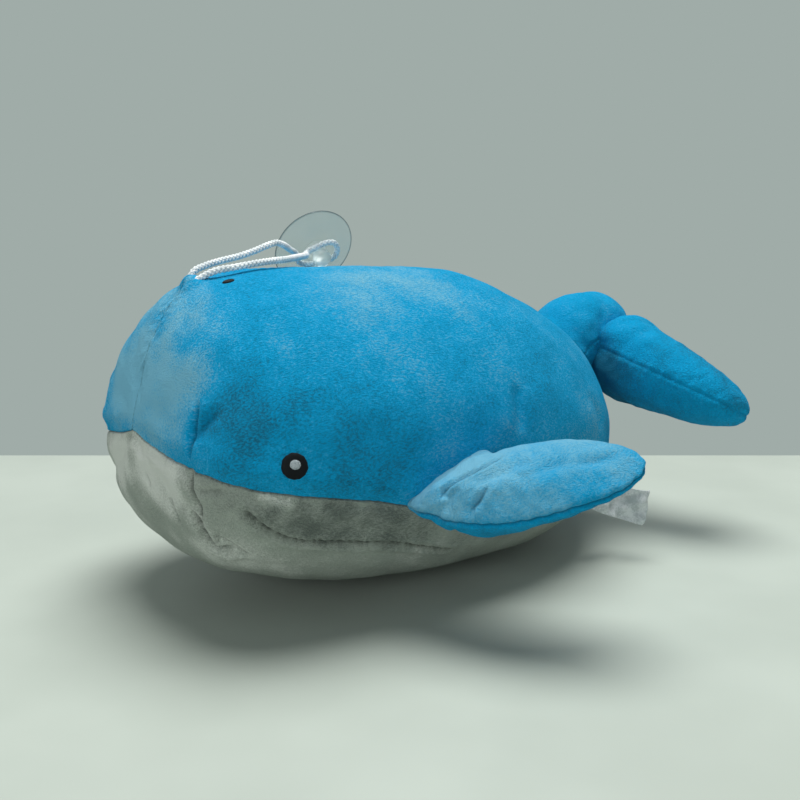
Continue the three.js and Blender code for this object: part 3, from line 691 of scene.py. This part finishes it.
def make_limb(name, limb, seed, place, hand=1):
    """A stuffed limb with its rim seam and folds, in its place on the whale's left or right."""
    piece = stuffed(name, limb)
    mesh = piece.data
    own = own_places(piece)
    rim = np.abs(own[:, 2])
    outside = np.clip((own[:, 0] + limb["sleeve"]) / limb["sleeve"], 0, 1)
    move = limb["seam"] * outside * (WELT_SHARE * hill(rim, 1.4, 2.2) - hill(rim, 0.9))
    move += limb["shoulder"] * (own[:, 2] > 0) * hill(own[:, 0], 9, -6) * np.tanh(rim / 8)
    move += 0.32 * ripple(own * [1, 1, 0], size=5.5, seed=seed) * hill(rim, 4.5)
    move += 0.35 * ripple(own, size=22, seed=seed + 1) + 0.12 * ripple(own, size=8, seed=seed + 2)
    # painted shade in the rim seam and in narrow folds, where the pile also parts
    shade = 0.8 * limb["seam"] * hill(rim, 0.7) * outside
    for skin, depth, width, places in limb["folds"]:
        line = smooth_line([(x, y, 0) for x, y in places], 0.8)
        height = np.where(own[:, 2] * skin > 0, 0, OUT_OF_REACH)
        distance, at, whole = near_line(np.column_stack([own[:, :2], height]), line)
        if width < NARROW_FOLD:
            shade = np.maximum(shade, 0.7 * fade(at, whole) * hill(distance, 0.6 * width))
        groove = WELT_SHARE * hill(distance, 1.3 * width, 2.4 * width) - hill(distance, width)
        move += depth * fade(at, whole) * groove
    paint(piece, "parted_shade", shade)
    points = vectors_of(mesh.vertices, "co") / MM
    shaped = place(points + vectors_of(mesh.vertices, "normal") * move[:, None])
    shaped[:, 1] *= hand
    mesh.vertices.foreach_set("co", (shaped * MM).ravel())
    if hand < 0:
        mesh.flip_normals()
    mesh.polygons.foreach_set("use_smooth", [True] * len(mesh.polygons))
    mesh.update()
    piece.name = mesh.name = name
    print(name, len(mesh.vertices), "points")
    return piece


def placed_in(origin, out, chord):
    """Puts points of a limb's own frame into the whale's."""
    axes = np.array([out, chord, np.cross(out, chord)])
    return lambda points: origin + points @ axes


# %% [markdown]
# ## Flippers
# The flippers are broad, flat pillows that sweep back from the flanks. A sewn line near the root
# and soft folds across the top show where the stuffing is thin. Each stands off the flank by its
# own half height, so that it can flap.

# %% The flippers
FLIPPER = {
    "root": 5.5, "chord": 24, "length": 64, "swell": 11, "loft": 6, "taper": 0.15, "narrowing": 0.1,
    "sweep": 44, "fullness": 2.5, "sleeve": 10, "flare": 0.0, "pinned": -1, "voxel": 1.9, "ease": 0.05,
    "gather": 0.14, "pressure": 6, "bending": 0.3, "cap": 4.5, "levels": 2, "seam": 0.9, "shoulder": 0,
    "folds": [
        (1, 1.9, 1.2, [(9, -20), (12, -8), (17, 4), (18, 16)]),
        (1, 1.3, 1.1, [(24, -18), (27, -10), (26, -2)]),
        (1, 1.8, 3.2, [(20, -8), (26, 6), (29, 20)]),
        (1, 1.3, 2.8, [(30, 2), (37, 14), (41, 30)]),
        (1, 0.9, 2.2, [(44, 26), (50, 38), (52, 50)]),
        (-1, 1.2, 3.0, [(14, -14), (20, 4), (22, 22)]),
    ],
}
FLIPPER_AT = (0.46, math.radians(94))
FLIPPER_RAKE = math.radians(24)  # how far its front edge is tilted down
FLIPPER_DROOP = math.radians(4)
CLEARANCE = 0.3  # between a limb's root and what carries it

along, _, outwards = torso_frame(*map(np.array, FLIPPER_AT))
rake = Matrix.Rotation(FLIPPER_RAKE, 3, Vector(outwards))
flipper_chord = np.array(rake @ Vector(unit(along)))
flipper_up = np.cross(outwards, flipper_chord)
flipper_hinge = torso(*FLIPPER_AT) + outwards * (FLIPPER["root"] + CLEARANCE)
flipper_out = outwards * math.cos(FLIPPER_DROOP) - flipper_up * math.sin(FLIPPER_DROOP)
flipper_place = placed_in(flipper_hinge, flipper_out, flipper_chord)
flippers = {
    side: make_limb(side + "_flipper", FLIPPER, seed, flipper_place, hand)
    for side, hand, seed in (("left", 1, 60), ("right", -1, 70))
}
print("flipper hinge:", np.round(flipper_hinge, 2))

# %% [markdown]
# ## Tail
# The stem leaves the back behind the crown and curls down. Its two flukes are fat pillows, and
# their sleeves meet inside its end, so no gap shows when they flap.

# %% The tail stem
STEM = {
    "root": 24, "chord": 22, "length": 47, "swell": 0, "loft": 0, "taper": 0.05, "narrowing": 0,
    "sweep": 0, "fullness": 2, "sleeve": 14, "flare": -0.12, "pinned": 2, "voxel": 2.0, "ease": 0.04,
    "gather": 0.05, "pressure": 4, "bending": 0.3, "cap": 3, "levels": 2, "seam": 0.4, "shoulder": 0,
    "folds": [
        (1, 0.9, 3.0, [(20, -22), (24, -8), (22, 6), (26, 20)]),
        (1, 0.8, 2.6, [(12, -21), (15, -10), (14, 4)]),
    ],
}
TAIL_AT = 0.855
TAIL_CURL = 38  # how far below the stem's middle the line lies round which it is bent, in mm
TAIL_BEND = math.radians(12)  # how far the stem can turn at its hinge

tail_out = torso_frame(np.array(TAIL_AT), np.array(0.0))[2]
tail_hinge = torso(TAIL_AT, 0.0) + tail_out * (STEM["root"] * math.sin(TAIL_BEND) + CLEARANCE)
stem_frame = placed_in(tail_hinge, tail_out, np.array([0, 1.0, 0]))


def curled(points):
    """Bends what is past the hinge down round a level line below it."""
    turn = np.maximum(points[:, 0], 0) / TAIL_CURL
    reach = TAIL_CURL + points[:, 2]
    bent = np.column_stack([reach * np.sin(turn), points[:, 1], reach * np.cos(turn) - TAIL_CURL])
    return np.where(points[:, :1] <= 0, points, bent)


stem = make_limb("tail_pillow", STEM, 80, lambda points: stem_frame(curled(points)))
print("tail hinge:", np.round(tail_hinge, 2))

# %% The flukes
FLUKE = {
    "root": 23, "chord": 25, "length": 68, "swell": 4, "loft": 1, "taper": 0.5, "narrowing": 0.3,
    "sweep": 27, "fullness": 2.2, "sleeve": 30.5, "flare": 0.3, "pinned": -12, "voxel": 2.4, "ease": 0.05,
    "gather": 0.12, "pressure": 3, "bending": 0.4, "cap": 1.5, "levels": 2, "seam": 0.4, "shoulder": 3.6,
    "folds": [
        (1, 0.8, 2.6, [(-4, -24), (2, -10), (3, 6)]),
        (1, 0.6, 2.4, [(6, -24), (10, -14), (9, -4)]),
        (1, 0.8, 2.4, [(52, 12), (58, 20), (60, 30)]),
        (-1, 1.2, 3.0, [(0, -22), (8, -8), (10, 8)]),
    ],
}
FLUKE_AT = 37.5  # along the stem, in mm
FLUKE_LOWER = 16  # below the stem's middle, in mm
FLUKE_PITCH = math.radians(-22)
FLUKE_DROOP = math.radians(12.5)
FLUKE_FLAP = math.radians(18)  # how far a fluke can turn at its hinge

fluke_reach = STEM["chord"] + FLUKE["root"] * math.sin(FLUKE_FLAP) + CLEARANCE
fluke_hinge = stem_frame(curled(np.array([[FLUKE_AT, -fluke_reach, -FLUKE_LOWER]], float)))[0]
fluke_chord = np.array([math.cos(FLUKE_PITCH), 0, math.sin(FLUKE_PITCH)])
level = np.array([0, -1.0, 0])
fluke_out = level * math.cos(FLUKE_DROOP) - np.cross(level, fluke_chord) * math.sin(FLUKE_DROOP)
fluke_place = placed_in(fluke_hinge, fluke_out, fluke_chord)
flukes = {
    side: make_limb(side + "_fluke", FLUKE, seed, fluke_place, hand)
    for side, hand, seed in (("left", 1, 90), ("right", -1, 100))
}
print("fluke hinge:", np.round(fluke_hinge, 2))

# %% [markdown]
# ## What rides on what
# Every piece but the limbs follows a body of the model. The cord follows the hanging loop and the
# cup follows its own body. A stuffed limb has no hinge in real life: its cloth bends. Here each limb
# only has its place baked into its mesh, and follows no body.


def blend_limb(limb):
    """Bakes a limb's place into its mesh; the limb follows no body."""
    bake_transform(limb)


for piece in (back_left, back_right, belly):
    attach(piece, "root")
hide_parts("back_panel_left", "body_fill")
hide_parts("back_panel_right")
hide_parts("belly_panel")

LIMB_LAYERS = ("upper_skin", "lower_skin", "fill")
for side, hand in (("left", 1), ("right", -1)):
    flipper, fluke = flippers[side], flukes[side]
    blend_limb(flipper)
    blend_limb(fluke)
    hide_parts(*(f"flipper_{side}_{layer}" for layer in LIMB_LAYERS))
    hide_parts(*(f"fluke_{side}_{layer}" for layer in LIMB_LAYERS))

blend_limb(stem)
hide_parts(*(f"tail_stem_{layer}" for layer in LIMB_LAYERS))

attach(cord, "hang_loop")
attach(cup, "cup")
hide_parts("hang_cord")
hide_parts("suction_cup")
print("blended limbs:", len(flippers) + len(flukes) + 1)

# %% [markdown]
# ## Embroidered eyes and blowholes
# The eyes are satin stitch: black threads side by side, a little raised, drawn down at their rim,
# with a pale patch in the middle. A blowhole is a small dark oval of the same stitch, one on each
# side of the crown seam. A picture on the cloth would look printed, so each patch is a low dome
# with a ridge for every thread. It is laid on the finished cloth by a ray from each of its points.

# %% Patches of satin stitch
EYE_AT = (0.3065, 86.4)
SPARK_AT = (EYE_AT[0] + 0.0006, EYE_AT[1] - 0.6)
BLOWHOLE_AT = (0.29, 13.5)
RIM_RINGS = 12  # rings of a patch that are kept for its rim, which bends the most
RAY_START = 8  # how far outside the torso a ray starts, in mm
EYE = {"half_sizes": (5.6, 5.6), "rise": 1.1, "thread": 0.55, "lean": 0.9}
SPARK = {"half_sizes": (2.7, 2.4), "rise": 1.5, "thread": 0.6, "lean": -0.75, "rings": 30, "around": 90}
BLOWHOLE = {"half_sizes": (3.0, 1.8), "rise": 0.7, "thread": 0.5, "lean": 1.2, "rings": 30, "around": 90}
cloth_under = {}


def settle(panel, points, normals):
    """Moves points along their normals onto the panel's cloth."""
    if panel.name not in cloth_under:
        mesh = panel.data
        cloth_under[panel.name] = BVHTree.FromPolygons(
            [v.co for v in mesh.vertices], [tuple(p.vertices) for p in mesh.polygons])
    tree = cloth_under[panel.name]
    settled = points.copy()
    for k, (point, normal) in enumerate(zip(points, normals)):
        hit = tree.ray_cast(Vector((point + normal * RAY_START) * MM), Vector(-normal), 0.02)[0]
        if hit is not None:
            settled[k] = np.array(hit) / MM
    return settled


def stitched_patch(name, panel, place, hand, half_sizes, rise, thread, lean, rings=46, around=150):
    """An oval of threads side by side, each as wide as thread, that lean by an angle in radians."""
    share, angle = np.array(place[0]), np.radians(hand * place[1])
    along, round_it, _ = torso_frame(share, angle)
    inner, outer = np.linspace(0.02, 0.86, rings - RIM_RINGS), np.linspace(0.88, 1.0, RIM_RINGS)
    r = np.concatenate([inner, outer])[:, None]
    turn = np.linspace(0, 2 * np.pi, around, endpoint=False)[None, :]
    uneven = 1 + 0.012 * np.sin(7 * turn + 1) + 0.012 * np.sin(13 * turn)
    x = half_sizes[0] * r * np.cos(turn) * uneven
    y = half_sizes[1] * r * np.sin(turn) * uneven
    spot_share = share + x / np.linalg.norm(along)
    spot_angle = angle + y / np.linalg.norm(round_it)
    normals = torso_frame(spot_share, spot_angle)[2].reshape(-1, 3)
    ground = settle(panel, torso(spot_share, spot_angle).reshape(-1, 3), normals)
    dome = rise * np.sqrt(np.maximum(0, 1 - r**4)) * np.ones_like(turn) - 0.35 * r**12
    slant = x * math.cos(lean) + hand * y * math.sin(lean)
    ridges = 0.13 * thread * (np.abs(np.sin(np.pi * slant / thread)) ** 0.7 - 0.5)
    height = dome + ridges * np.minimum(1, (1.02 - r) * 10)
    return make_piece(name, ground + normals * height.reshape(-1, 1),
                      grid_faces(len(r), around, closed=True)[:, ::hand])


features = []
for side, hand, panel in (("left", 1, back_left), ("right", -1, back_right)):
    eye = stitched_patch(side + "_eye", panel, EYE_AT, hand, **EYE)
    spark = stitched_patch(side + "_eye_spark", panel, SPARK_AT, hand, **SPARK)
    blowhole = stitched_patch(side + "_blowhole", panel, BLOWHOLE_AT, hand, **BLOWHOLE)
    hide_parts("eye_" + side)
    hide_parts("eye_glint_" + side)
    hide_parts("blowhole_" + side)
    for piece in (eye, spark, blowhole):
        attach(piece, "root")
    features.append((eye, spark, blowhole))

# %% [markdown]
# ## Care label
# A strip of white satin is sewn into the seam behind the left flipper and stands off crumpled. A
# strip so small and stiff keeps its creases, so they are written as sharp waves across it.

# %% The label
LABEL_LENGTH, LABEL_WIDTH = 40, 20
LABEL_AT = 0.69
LABEL_SEWN_IN = 1.8
LABEL_REACH = 22  # how far the free end stands off the flank
LABEL_SAG = 9
LABEL_CRUMPLE = 0.96  # the share of its length that the crumpled strip still spans


def label_sheet(name, rows=110, cols=56):
    angle = seam_angle(LABEL_AT)
    along, _, normal = torso_frame(np.array(LABEL_AT), angle)
    start = torso(LABEL_AT, angle) - normal * LABEL_SEWN_IN
    span = math.sqrt((LABEL_CRUMPLE * LABEL_LENGTH) ** 2 - LABEL_REACH**2)
    end = start + normal * LABEL_REACH + unit(along) * span - np.array([0, 0, LABEL_SAG])
    bend = (start + end) / 2 - np.array([0, 0, 0.5 * LABEL_SAG])
    u = np.linspace(0, 1, rows)[:, None, None]
    v = np.linspace(-0.5, 0.5, cols)[None, :, None]
    middle = (1 - u) ** 2 * start + 2 * u * (1 - u) * bend + u**2 * end
    ahead = unit(2 * (1 - u) * (bend - start) + 2 * u * (end - bend))
    wide = unit(np.array([0, 0, 1.0]) - ahead * ahead[..., 2:])
    free = np.clip(u * 3, 0, 1)
    fold = 4.2 * np.sin(2 * np.pi * (1.25 * u + 0.35 * v + 0.05)) * (0.6 + 0.6 * (0.5 + v))
    crease = 0.8 * np.sin(2 * np.pi * (2.9 * u - 1.3 * v))
    crease = crease + 0.5 * np.sin(2 * np.pi * (1.9 * u + 2.3 * v + 0.3))
    across = wide * v * LABEL_WIDTH * (1 - 0.12 * np.sin(np.pi * u))
    points = middle + across + np.cross(ahead, wide) * free * (fold + crease)
    piece = make_piece(name, points, grid_faces(rows, cols))
    thick = piece.modifiers.new("thickness", "SOLIDIFY")
    thick.thickness, thick.offset = 0.35 * MM, 0
    return applied(piece)


label = label_sheet("satin_label")
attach(label, "root")
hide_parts("care_label")

# %% [markdown]
# ## Plush
# Plush is a knit with a short pile. It looks streaky because the pile lies in small waves, and
# patchy because hands brush it one way here and another there: pile that leans towards the light
# is paler. Hair would show each strand, but it is slow and is lost when the model leaves Blender, so
# the streaks are a stretched noise in the material. The patches are painted light and shade of the
# nap, kept in an attribute of the mesh, so each can be placed where the real toy shows it. Narrow
# creases and seams get painted shade from a second attribute. The limbs' pile is smoother than the
# back's.

# %% Nodes in few words
def tone(r, g, b):
    """A colour as seen on screen, from 0 to 255, as the light values that a shader wants."""
    shares = (r / 255, g / 255, b / 255)
    return tuple(c / 12.92 if c <= 0.04 else ((c + 0.055) / 1.055) ** 2.4 for c in shares) + (1,)


def new_material(name):
    material = bpy.data.materials.new(name)
    material.use_nodes = True
    return material, material.node_tree, material.node_tree.nodes["Principled BSDF"]


def plug(tree, node, inputs):
    """Links or sets some inputs of a node, by name or number."""
    for key, value in inputs.items():
        if isinstance(value, bpy.types.NodeSocket):
            tree.links.new(value, node.inputs[key])
        else:
            node.inputs[key].default_value = value


def add(tree, kind, inputs, **settings):
    """A new node with its inputs and settings."""
    made = tree.nodes.new("ShaderNode" + kind)
    for key, value in settings.items():
        setattr(made, key, value)
    plug(tree, made, inputs)
    return made


def place_on(tree):
    """The place on the piece's own mesh, which moves with the piece."""
    return add(tree, "TexCoord", {}).outputs["Object"]


def noise(tree, place, scale, detail, **more):
    return add(tree, "TexNoise", {"Vector": place, "Scale": scale, "Detail": detail, **more})


def painted(tree, name):
    """An amount that was painted on the mesh."""
    return add(tree, "Attribute", {}, attribute_name=name).outputs["Fac"]


def maths(tree, operation, *values):
    return add(tree, "Math", dict(enumerate(values)), operation=operation).outputs[0]


def blend_tones(tree, amount, a, b):
    """A colour between a and b."""
    return add(tree, "Mix", {0: amount, 6: a, 7: b}, data_type="RGBA").outputs[2]


def between(tree, value, low, high, to_low=0.0, to_high=1.0):
    return add(tree, "MapRange", {0: value, 1: low, 2: high, 3: to_low, 4: to_high},
               interpolation_type="SMOOTHSTEP").outputs[0]


def bumpy(tree, height, strength, distance):
    return add(tree, "Bump", {"Height": height, "Strength": strength, "Distance": distance}).outputs[0]


# %% The plush material
LAID = {"Rotation": (0.5, 0.35, 0.6), "Scale": (0.5, 1.0, 1.0)}  # which way the pile lies
WANDER = 0.006  # how far the streaks wander from that, in metres
MOST_NOISE = 0.25, 0.75  # nearly all values of a noise lie between these


def plush(name, parted_shade_tone, deep, middle, pale, streaky=1.0):
    """Pile in four tones: painted shade where the pile parts in a crease, then pile turned from the
    light, even, and turned to the light, as painted shade and light.
    """
    material, tree, shader = new_material(name)
    own = place_on(tree)
    shift = noise(tree, own, 55.0, 1.0).outputs["Color"]
    shift = add(tree, "VectorMath", {0: shift, 1: (0.5, 0.5, 0.5)}, operation="SUBTRACT").outputs[0]
    shift = add(tree, "VectorMath", {0: shift, "Scale": WANDER}, operation="SCALE").outputs[0]
    warped = add(tree, "VectorMath", {0: own, 1: shift}, operation="ADD").outputs[0]
    lain = add(tree, "Mapping", {"Vector": warped, **LAID}).outputs[0]
    streaks = noise(tree, lain, 1250.0, 2.0, Roughness=0.7).outputs[0]
    cells = noise(tree, own, 2600.0, 1.0).outputs[0]
    mottle = noise(tree, warped, 110.0, 3.0, Roughness=0.55).outputs[0]
    patches = noise(tree, own, 26.0, 2.0, Roughness=0.5).outputs[0]
    # painted light and shade of the nap, read from the mesh
    nap = painted(tree, "nap_and_light")
    for clouds, spread in ((patches, 0.22), (mottle, 0.14)):
        nap = maths(tree, "ADD", between(tree, clouds, *MOST_NOISE, -spread, spread), nap)
    lean = between(tree, streaks, *MOST_NOISE, -streaky, streaky)
    turned_away = maths(tree, "MULTIPLY_ADD", lean, 0.4, nap)
    turned_up = maths(tree, "MULTIPLY_ADD", lean, 0.42, nap)
    colour = blend_tones(tree, between(tree, turned_away, -1.0, 0.05), tone(*deep), tone(*middle))
    colour = blend_tones(tree, between(tree, turned_up, -0.05, 1.1), colour, tone(*pale))
    # painted shade in narrow creases and seams, where the pile also parts
    parted_shade = between(tree, painted(tree, "parted_shade"), 0.0, 1.1, 0.0, 0.9)
    plug(tree, shader, {
        "Base Color": blend_tones(tree, parted_shade, colour, tone(*parted_shade_tone)),
        "Normal": bumpy(tree, maths(tree, "ADD", streaks, cells), 1.0, 0.001),
        "Roughness": 0.95, "Specular IOR Level": 0.05,
        "Sheen Weight": 0.14, "Sheen Roughness": 0.5, "Sheen Tint": tone(*pale),
    })
    return material


BLUES = (4, 52, 76), (24, 106, 136), (2, 160, 214), (122, 188, 214)
GREYS = (42, 48, 44), (96, 106, 100), (158, 168, 158), (222, 228, 220)
BLUE_PLUSH = plush("blue_pile", *BLUES)
LIMB_PLUSH = plush("limb_pile", *BLUES, streaky=0.6)
GREY_PLUSH = plush("grey_pile", *GREYS, streaky=0.6)
print("nodes of the blue plush:", len(BLUE_PLUSH.node_tree.nodes))

# %% [markdown]
# ## Thread, cord, satin and vinyl
# Thread and cord shine along their fibres, so their roughness is lower than the plush's and a fine
# noise breaks the light. Satin is smooth and sheds a soft gloss. The cord is painted darker between
# its strands, as painted shade. Vinyl is clear and a little grey, and its bead is painted darker, as
# painted shade for the dark rim that clear vinyl shows where the eye looks through more of it.

# %% Thread, cord and satin
def threads(name, dark, light, scale, roughness, specular=0.3, sheen=0.15, parted_shade_tone=(70, 88, 100)):
    material, tree, shader = new_material(name)
    own = place_on(tree)
    fibres = noise(tree, own, scale, 3.0, Roughness=0.65).outputs[0]
    cloudy = noise(tree, own, 160.0, 2.0).outputs[0]
    mixed = between(tree, maths(tree, "ADD", fibres, cloudy), 0.75, 1.25)
    # painted shade, used on the cord between its strands
    parted_shade = between(tree, painted(tree, "parted_shade"), 0.35, 1.0, 0.0, 0.75)
    plug(tree, shader, {
        "Base Color": blend_tones(
            tree, parted_shade, blend_tones(tree, mixed, tone(*dark), tone(*light)), tone(*parted_shade_tone)),
        "Normal": bumpy(tree, fibres, 0.4, 0.0002),
        "Roughness": between(tree, fibres, 0.3, 0.7, roughness - 0.08, roughness + 0.08),
        "Specular IOR Level": specular, "Sheen Weight": sheen,
    })
    return material


BLACK_THREAD = threads(
    "black_stitches", (2, 5, 7), (9, 15, 20), scale=2400.0, roughness=0.65, specular=0.15, sheen=0.03)
PALE_THREAD = threads(
    "pale_stitches", (96, 108, 114), (176, 186, 190), scale=2400.0, roughness=0.6, specular=0.2)
CORD_FINISH = threads(
    "braided_cord", (206, 214, 216), (242, 246, 246), scale=1800.0, roughness=0.7, specular=0.2)
SATIN = threads(
    "white_satin", (166, 176, 178), (206, 212, 214), scale=900.0, roughness=0.55, sheen=0.3)
print("nodes of the satin:", len(SATIN.node_tree.nodes))


# %% Clear vinyl, and which piece wears what
def clear_vinyl(name):
    material, tree, shader = new_material(name)
    haze = noise(tree, place_on(tree), 90.0, 2.0).outputs[0]
    colour = blend_tones(tree, haze, tone(236, 246, 247), tone(246, 252, 252))
    hazy = between(tree, haze, 0.3, 0.7, 0.14, 0.26)
    frosted = between(tree, painted(tree, "knob"), 0.0, 1.0, 0.0, 0.4)
    plug(tree, shader, {
        # painted shade: the bead is painted a darker grey blue
        "Base Color": blend_tones(tree, painted(tree, "edge"), colour, tone(96, 122, 132)),
        "Normal": bumpy(tree, haze, 0.1, 0.001),
        "Roughness": maths(tree, "ADD", hazy, frosted),
        "Transmission Weight": 0.97, "IOR": 1.22,
    })
    return material


def dress(piece, material):
    piece.data.materials.clear()
    piece.data.materials.append(material)


for piece in (back_left, back_right):
    dress(piece, BLUE_PLUSH)
for piece in (stem, *flippers.values(), *flukes.values()):
    dress(piece, LIMB_PLUSH)
dress(belly, GREY_PLUSH)
for eye, spark, blowhole in features:
    dress(eye, BLACK_THREAD)
    dress(spark, PALE_THREAD)
    dress(blowhole, BLACK_THREAD)
dress(cord, CORD_FINISH)
dress(cup, clear_vinyl("clear_vinyl_finish"))
dress(label, SATIN)
print("materials:", len(bpy.data.materials))

# %% [markdown]
# ## Painted light and shade of the nap
# Each patch is a place on the torso, a radius, and how much paler or deeper the pile is painted there:
# painted light and shade of the brushed nap, and a painted highlight along the belly seam. The sum of
# them is stored on the mesh as an attribute, which the plush material reads. A limb is simpler: its
# upper skin is painted lighter as it catches the light, its lower skin is painted darker as painted
# shade, and both change from root to tip.

# %% Painted light and shade on the torso
# share, degrees, radius in mm, and paler above 0 or deeper below it: painted light and shade of the nap
NAP_AND_LIGHT = [
    (0.05, 38, 20, 0.6), (0.076, 18, 13, 0.4), (0.105, 54, 12, 0.25), (0.03, -24, 22, 0.1),
    (0.10, 60, 18, 0.5), (0.14, 20, 15, 0.35), (0.144, 51, 11, 0.55), (0.206, 26, 11, 0.5),
    (0.227, 12, 10, 0.5), (0.193, 4, 9, 0.35), (0.147, 35, 9, -0.15), (0.08, 82, 15, 0.1),
    (0.19, 73, 14, -0.25), (0.235, 76, 20, -0.3), (0.27, 90, 12, -0.25), (0.36, 92, 14, -0.3),
    (0.40, 88, 14, -0.25), (0.42, 28, 22, 0.35), (0.5, 20, 26, 0.45), (0.5, 32, 20, 0.3),
    (0.52, 80, 11, 0.4), (0.53, 64, 10, 0.25), (0.68, 82, 12, 0.2), (0.62, 72, 20, -0.15),
    (0.38, 60, 24, -0.1),
]
# the first four paint a highlight along the seam; the deeper ones below it paint shade under the flank's
# overhang
GREY_NAP_AND_LIGHT = [
    (0.255, 97.6, 2.3, 0.6), (0.268, 98.0, 2.3, 0.8), (0.281, 98.5, 2.3, 0.9), (0.294, 99.3, 2.3, 0.8),
    (0.22, 107, 10, -0.2), (0.26, 106, 9, -0.5), (0.30, 107, 9, -0.8), (0.34, 106, 12, -0.8),
    (0.42, 110, 14, -0.7), (0.385, 107, 11, -0.7), (0.10, 125, 18, 0.95), (0.05, 128, 16, 0.7),
    (0.24, 136, 22, 0.7), (0.34, 134, 26, 0.2), (0.42, 124, 18, 0.2), (0.52, 112, 18, -0.3),
    (0.62, 125, 30, -0.2),
]


def nap_and_light_amount(points, patches, seed):
    total = np.zeros(len(points))
    for hand in (1, -1):
        for share, degrees, radius, amount in patches:
            centre = torso(share, np.radians(hand * degrees))
            far = np.linalg.norm(points - centre, axis=1) / radius
            far = far * (1 + 0.22 * ripple(points, 1.2 * radius, seed + int(100 * share)))
            total += amount * hill(far, 1)
    return total


for piece, patches, seed in (
        (back_left, NAP_AND_LIGHT, 200), (back_right, NAP_AND_LIGHT, 300), (belly, GREY_NAP_AND_LIGHT, 400)):
    amounts = nap_and_light_amount(vectors_of(piece.data.vertices, "co") / MM, patches, seed)
    paint(piece, "nap_and_light", amounts)
    print(piece.name, "is brushed from", round(amounts.min(), 2), "to", round(amounts.max(), 2))

# %% Painted light and shade on the limbs
def upper_skin(height, soft):
    """1 on the upper skin and 0 on the lower, with a soft change at the rim."""
    return 0.5 + 0.5 * np.tanh(height / soft)


# Painted light and shade: each upper skin is painted lighter and each lower skin darker, for how the
# light falls on them
for flipper in flippers.values():
    out, _, height = own_places(flipper).T
    upper = upper_skin(height, 2)
    paint(flipper, "nap_and_light", 0.8 * upper * (1.25 - 0.013 * out) - (0.1 + 0.003 * out) * (1 - upper))

out, _, height = own_places(stem).T
paint(stem, "nap_and_light", 0.12 * hill(out, 9, 10) * upper_skin(height, 3) - 0.12)

for fluke in flukes.values():
    out, _, height = own_places(fluke).T
    upper = upper_skin(height, 3)
    root, tip = hill(out, 16, 6), np.clip(out / 70, 0, 1) ** 2
    paint(fluke, "nap_and_light", (0.15 * root - 0.3) * upper - (0.45 + 0.35 * root - 0.5 * tip) * (1 - upper))
print("brushed limbs:", len(flippers) + len(flukes) + 1)

# %% [markdown]
# ## Studio
# The toy stands on a pale table in front of a pale wall. A wide lamp overhead, a little behind the
# toy, gives the soft light on its back and the shadow under its chin, and a weak one lights its
# face from the front. The wall is the world's colour, seen only by the camera and by glossy and
# clear surfaces. For everything else the world is a dim grey, which keeps the shadows open.

# %% The table
TABLE_WIDTH, TABLE_DEPTH = 3.2, 2.0
TABLE_BACK = 0.227  # from where the camera aims to the table's far edge, in metres
TABLE_POINTS = 9  # on each side

view_side = np.array([math.cos(AZIMUTH), math.sin(AZIMUTH), 0])
view_away = np.array([-math.sin(AZIMUTH), math.cos(AZIMUTH), 0])
share = np.linspace(0, 1, TABLE_POINTS)
across, ahead = np.meshgrid(TABLE_WIDTH * (share - 0.5), TABLE_BACK - TABLE_DEPTH * share)
table_points = np.array([AIM.x, AIM.y, 0]) + across[..., None] * view_side + ahead[..., None] * view_away
table = make_piece("table_top", table_points / MM, grid_faces(TABLE_POINTS, TABLE_POINTS))

material, tree, shader = new_material("table_finish")
grain = between(tree, noise(tree, place_on(tree), 9.0, 3.0).outputs[0], 0.3, 0.7)
plug(tree, shader, {
    "Base Color": blend_tones(tree, grain, tone(170, 179, 170), tone(178, 187, 178)), "Roughness": 0.55,
})
table.data.materials.append(material)


# %% The lamps and the wall
TOY_MIDDLE = Vector((0, 0, 0.06))


def lamp(name, place, size, power, colour):
    """A round lamp that faces the toy."""
    light = bpy.data.lights.new(name, "AREA")
    light.shape, light.size, light.energy, light.color = "DISK", size, power, colour
    made = bpy.data.objects.new(name, light)
    made.location = place
    made.rotation_euler = (Vector(place) - TOY_MIDDLE).to_track_quat("Z", "Y").to_euler()
    bpy.context.scene.collection.objects.link(made)


lamp("overhead", place=(0.15, 0.12, 1.65), size=1.25, power=38.0, colour=(1.0, 1.0, 0.98))
lamp("front_fill", place=(-1.3, -0.9, 0.4), size=1.0, power=8.0, colour=(0.98, 1.0, 1.0))

world = bpy.data.worlds.new("room")
bpy.context.scene.world = world
world.use_nodes = True
tree = world.node_tree
rays = add(tree, "LightPath", {}).outputs
seen = maths(tree, "MAXIMUM", rays["Is Camera Ray"], rays["Is Glossy Ray"])
seen = maths(tree, "MAXIMUM", seen, rays["Is Transmission Ray"])
room_colour = blend_tones(tree, seen, (0.165, 0.18, 0.19, 1), tone(160, 172, 168))
plug(tree, tree.nodes["Background"], {"Color": room_colour})
bpy.context.scene.view_settings.view_transform = "Standard"
print("lamps:", len(bpy.data.lights))
